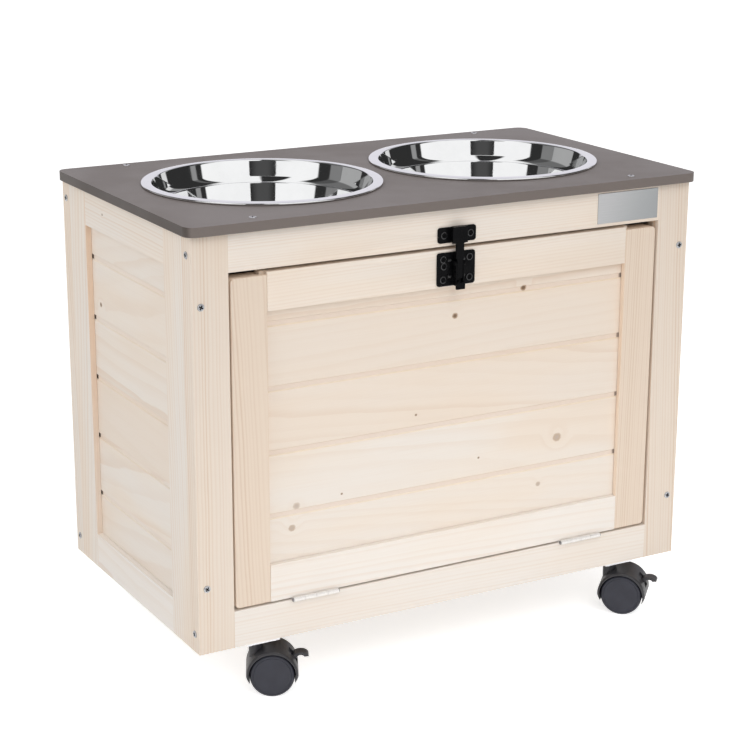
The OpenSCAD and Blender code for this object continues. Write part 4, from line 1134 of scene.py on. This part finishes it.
def make_world():
    """A white surround. Polished metal sees white screens with dark gaps between and beside them."""
    world = bpy.data.worlds.new("studio")
    scene.world = world
    s = Shader("studio", world)
    rays = s.tree.nodes.new("ShaderNodeLightPath").outputs
    x, y, z = s.coordinates("Generated")
    sine, cosine = math.sin(CAMERA_YAW), math.cos(CAMERA_YAW)
    forward = s.plus(s.times(x, -sine), s.times(y, -cosine))
    leftward = s.plus(s.times(x, -cosine), s.times(y, sine))
    bearing = s.math("ARCTAN2", leftward, forward)
    bright = 0.0
    for start, end, level in SCREENS:
        panel = s.times(bearing_step(s, bearing, start, SCREEN_BLUR),
                        bearing_step(s, bearing, end, SCREEN_BLUR, level, 0.0))
        if level < 1:
            panel = s.times(panel, s.step(z, 0.30, 0.40, 1.0, SIDE_DIM))
        bright = s.math("MAXIMUM", bright, panel)
    off = s.math("ABSOLUTE", bearing)
    ceiling = s.times(s.step(z, 0.80, 0.90), bearing_step(s, off, CEILING_END, CEILING_BLUR, 1.0, 0.0))
    bright = s.math("MAXIMUM", bright, ceiling)
    boom = s.times(bearing_step(s, bearing, BOOM_START, BOOM_BLUR),
                   bearing_step(s, bearing, BOOM_END, BOOM_BLUR, 1.0, 0.0))
    boom = s.times(boom, s.step(z, 0.56, 0.60))
    bright = s.math("MAXIMUM", s.times(bright, s.minus(1.0, boom)), DARK_STUDIO)
    backdrop = s.times(bearing_step(s, off, BACKDROP_START, BACKDROP_BLUR), s.step(z, 0.45, 0.90, 1.0, 0.6))
    glossy = s.mix(backdrop, s.mix(bright, DARK, WHITE), BACKDROP)
    colour = s.mix(rays["Is Glossy Ray"], (AMBIENT,) * 3, glossy)
    seen = s.math("MAXIMUM", rays["Is Camera Ray"], rays["Is Transmission Ray"])
    s.put(s.tree.nodes["Background"].inputs["Color"], s.mix(seen, colour, WHITE))


def make_figure():
    """The camera and its stand, which only polished metal sees."""
    bm = bmesh.new()
    half = FIGURE_WIDTH / 2
    corners = [(-half, 0.0), (half, 0.0), (half, FIGURE_HEIGHT), (-half, FIGURE_HEIGHT)]
    bm.faces.new([bm.verts.new((x, 0.0, z)) for x, z in corners])
    s = Shader("camera_stand")
    across = s.math("ABSOLUTE", s.place()[0])
    glow = s.step(across, 0.3 * half, half, FIGURE_PALE, FIGURE_DARK)
    material = s.finish(Base_Color=DARK, Roughness=1.0, Specular_IOR_Level=0.0, Emission_Color=WHITE,
                        Emission_Strength=glow)
    figure = object_of("camera_stand", bm, material)
    x, y, _ = CAMERA_PLACE
    place = (x - FIGURE_BACK * math.sin(CAMERA_YAW), y - FIGURE_BACK * math.cos(CAMERA_YAW), 0)
    figure.matrix_world = Matrix.Translation(place) @ Matrix.Rotation(-CAMERA_YAW, 4, "Z")
    figure.visible_camera = False
    figure.visible_diffuse = False
    figure.visible_shadow = False


def make_lamp(name, place, target, width, height, power):
    lamp = bpy.data.lights.new(name, "AREA")
    lamp.shape = "ELLIPSE"
    lamp.size = width
    lamp.size_y = height
    lamp.energy = power
    holder = bpy.data.objects.new(name, lamp)
    holder.matrix_world = pointing(place, Vector(place) - Vector(target), 0)
    holder.visible_glossy = False
    holder.visible_camera = False
    scene.collection.objects.link(holder)


def make_camera():
    camera = bpy.data.cameras.new("camera")
    camera.lens = CAMERA_LENS
    camera.sensor_width = CAMERA_SENSOR
    camera.clip_end = 200
    holder = bpy.data.objects.new("camera", camera)
    turn = Matrix.Rotation(-CAMERA_YAW, 4, "Z") @ Matrix.Rotation(math.pi / 2 - CAMERA_PITCH, 4, "X")
    holder.matrix_world = Matrix.Translation(CAMERA_PLACE) @ turn @ Matrix.Rotation(CAMERA_ROLL, 4, "Z")
    scene.collection.objects.link(holder)
    scene.camera = holder


make_camera()
make_world()
make_floor()
make_figure()
for lamp_row in LAMPS:
    make_lamp(*lamp_row)
scene.view_settings.view_transform = "Standard"

dress_boards()
dress_metal()
make_bowl("left")
make_bowl("right")
make_frame_screws()
make_latch_screws()
make_latch_knuckles()
make_castors()
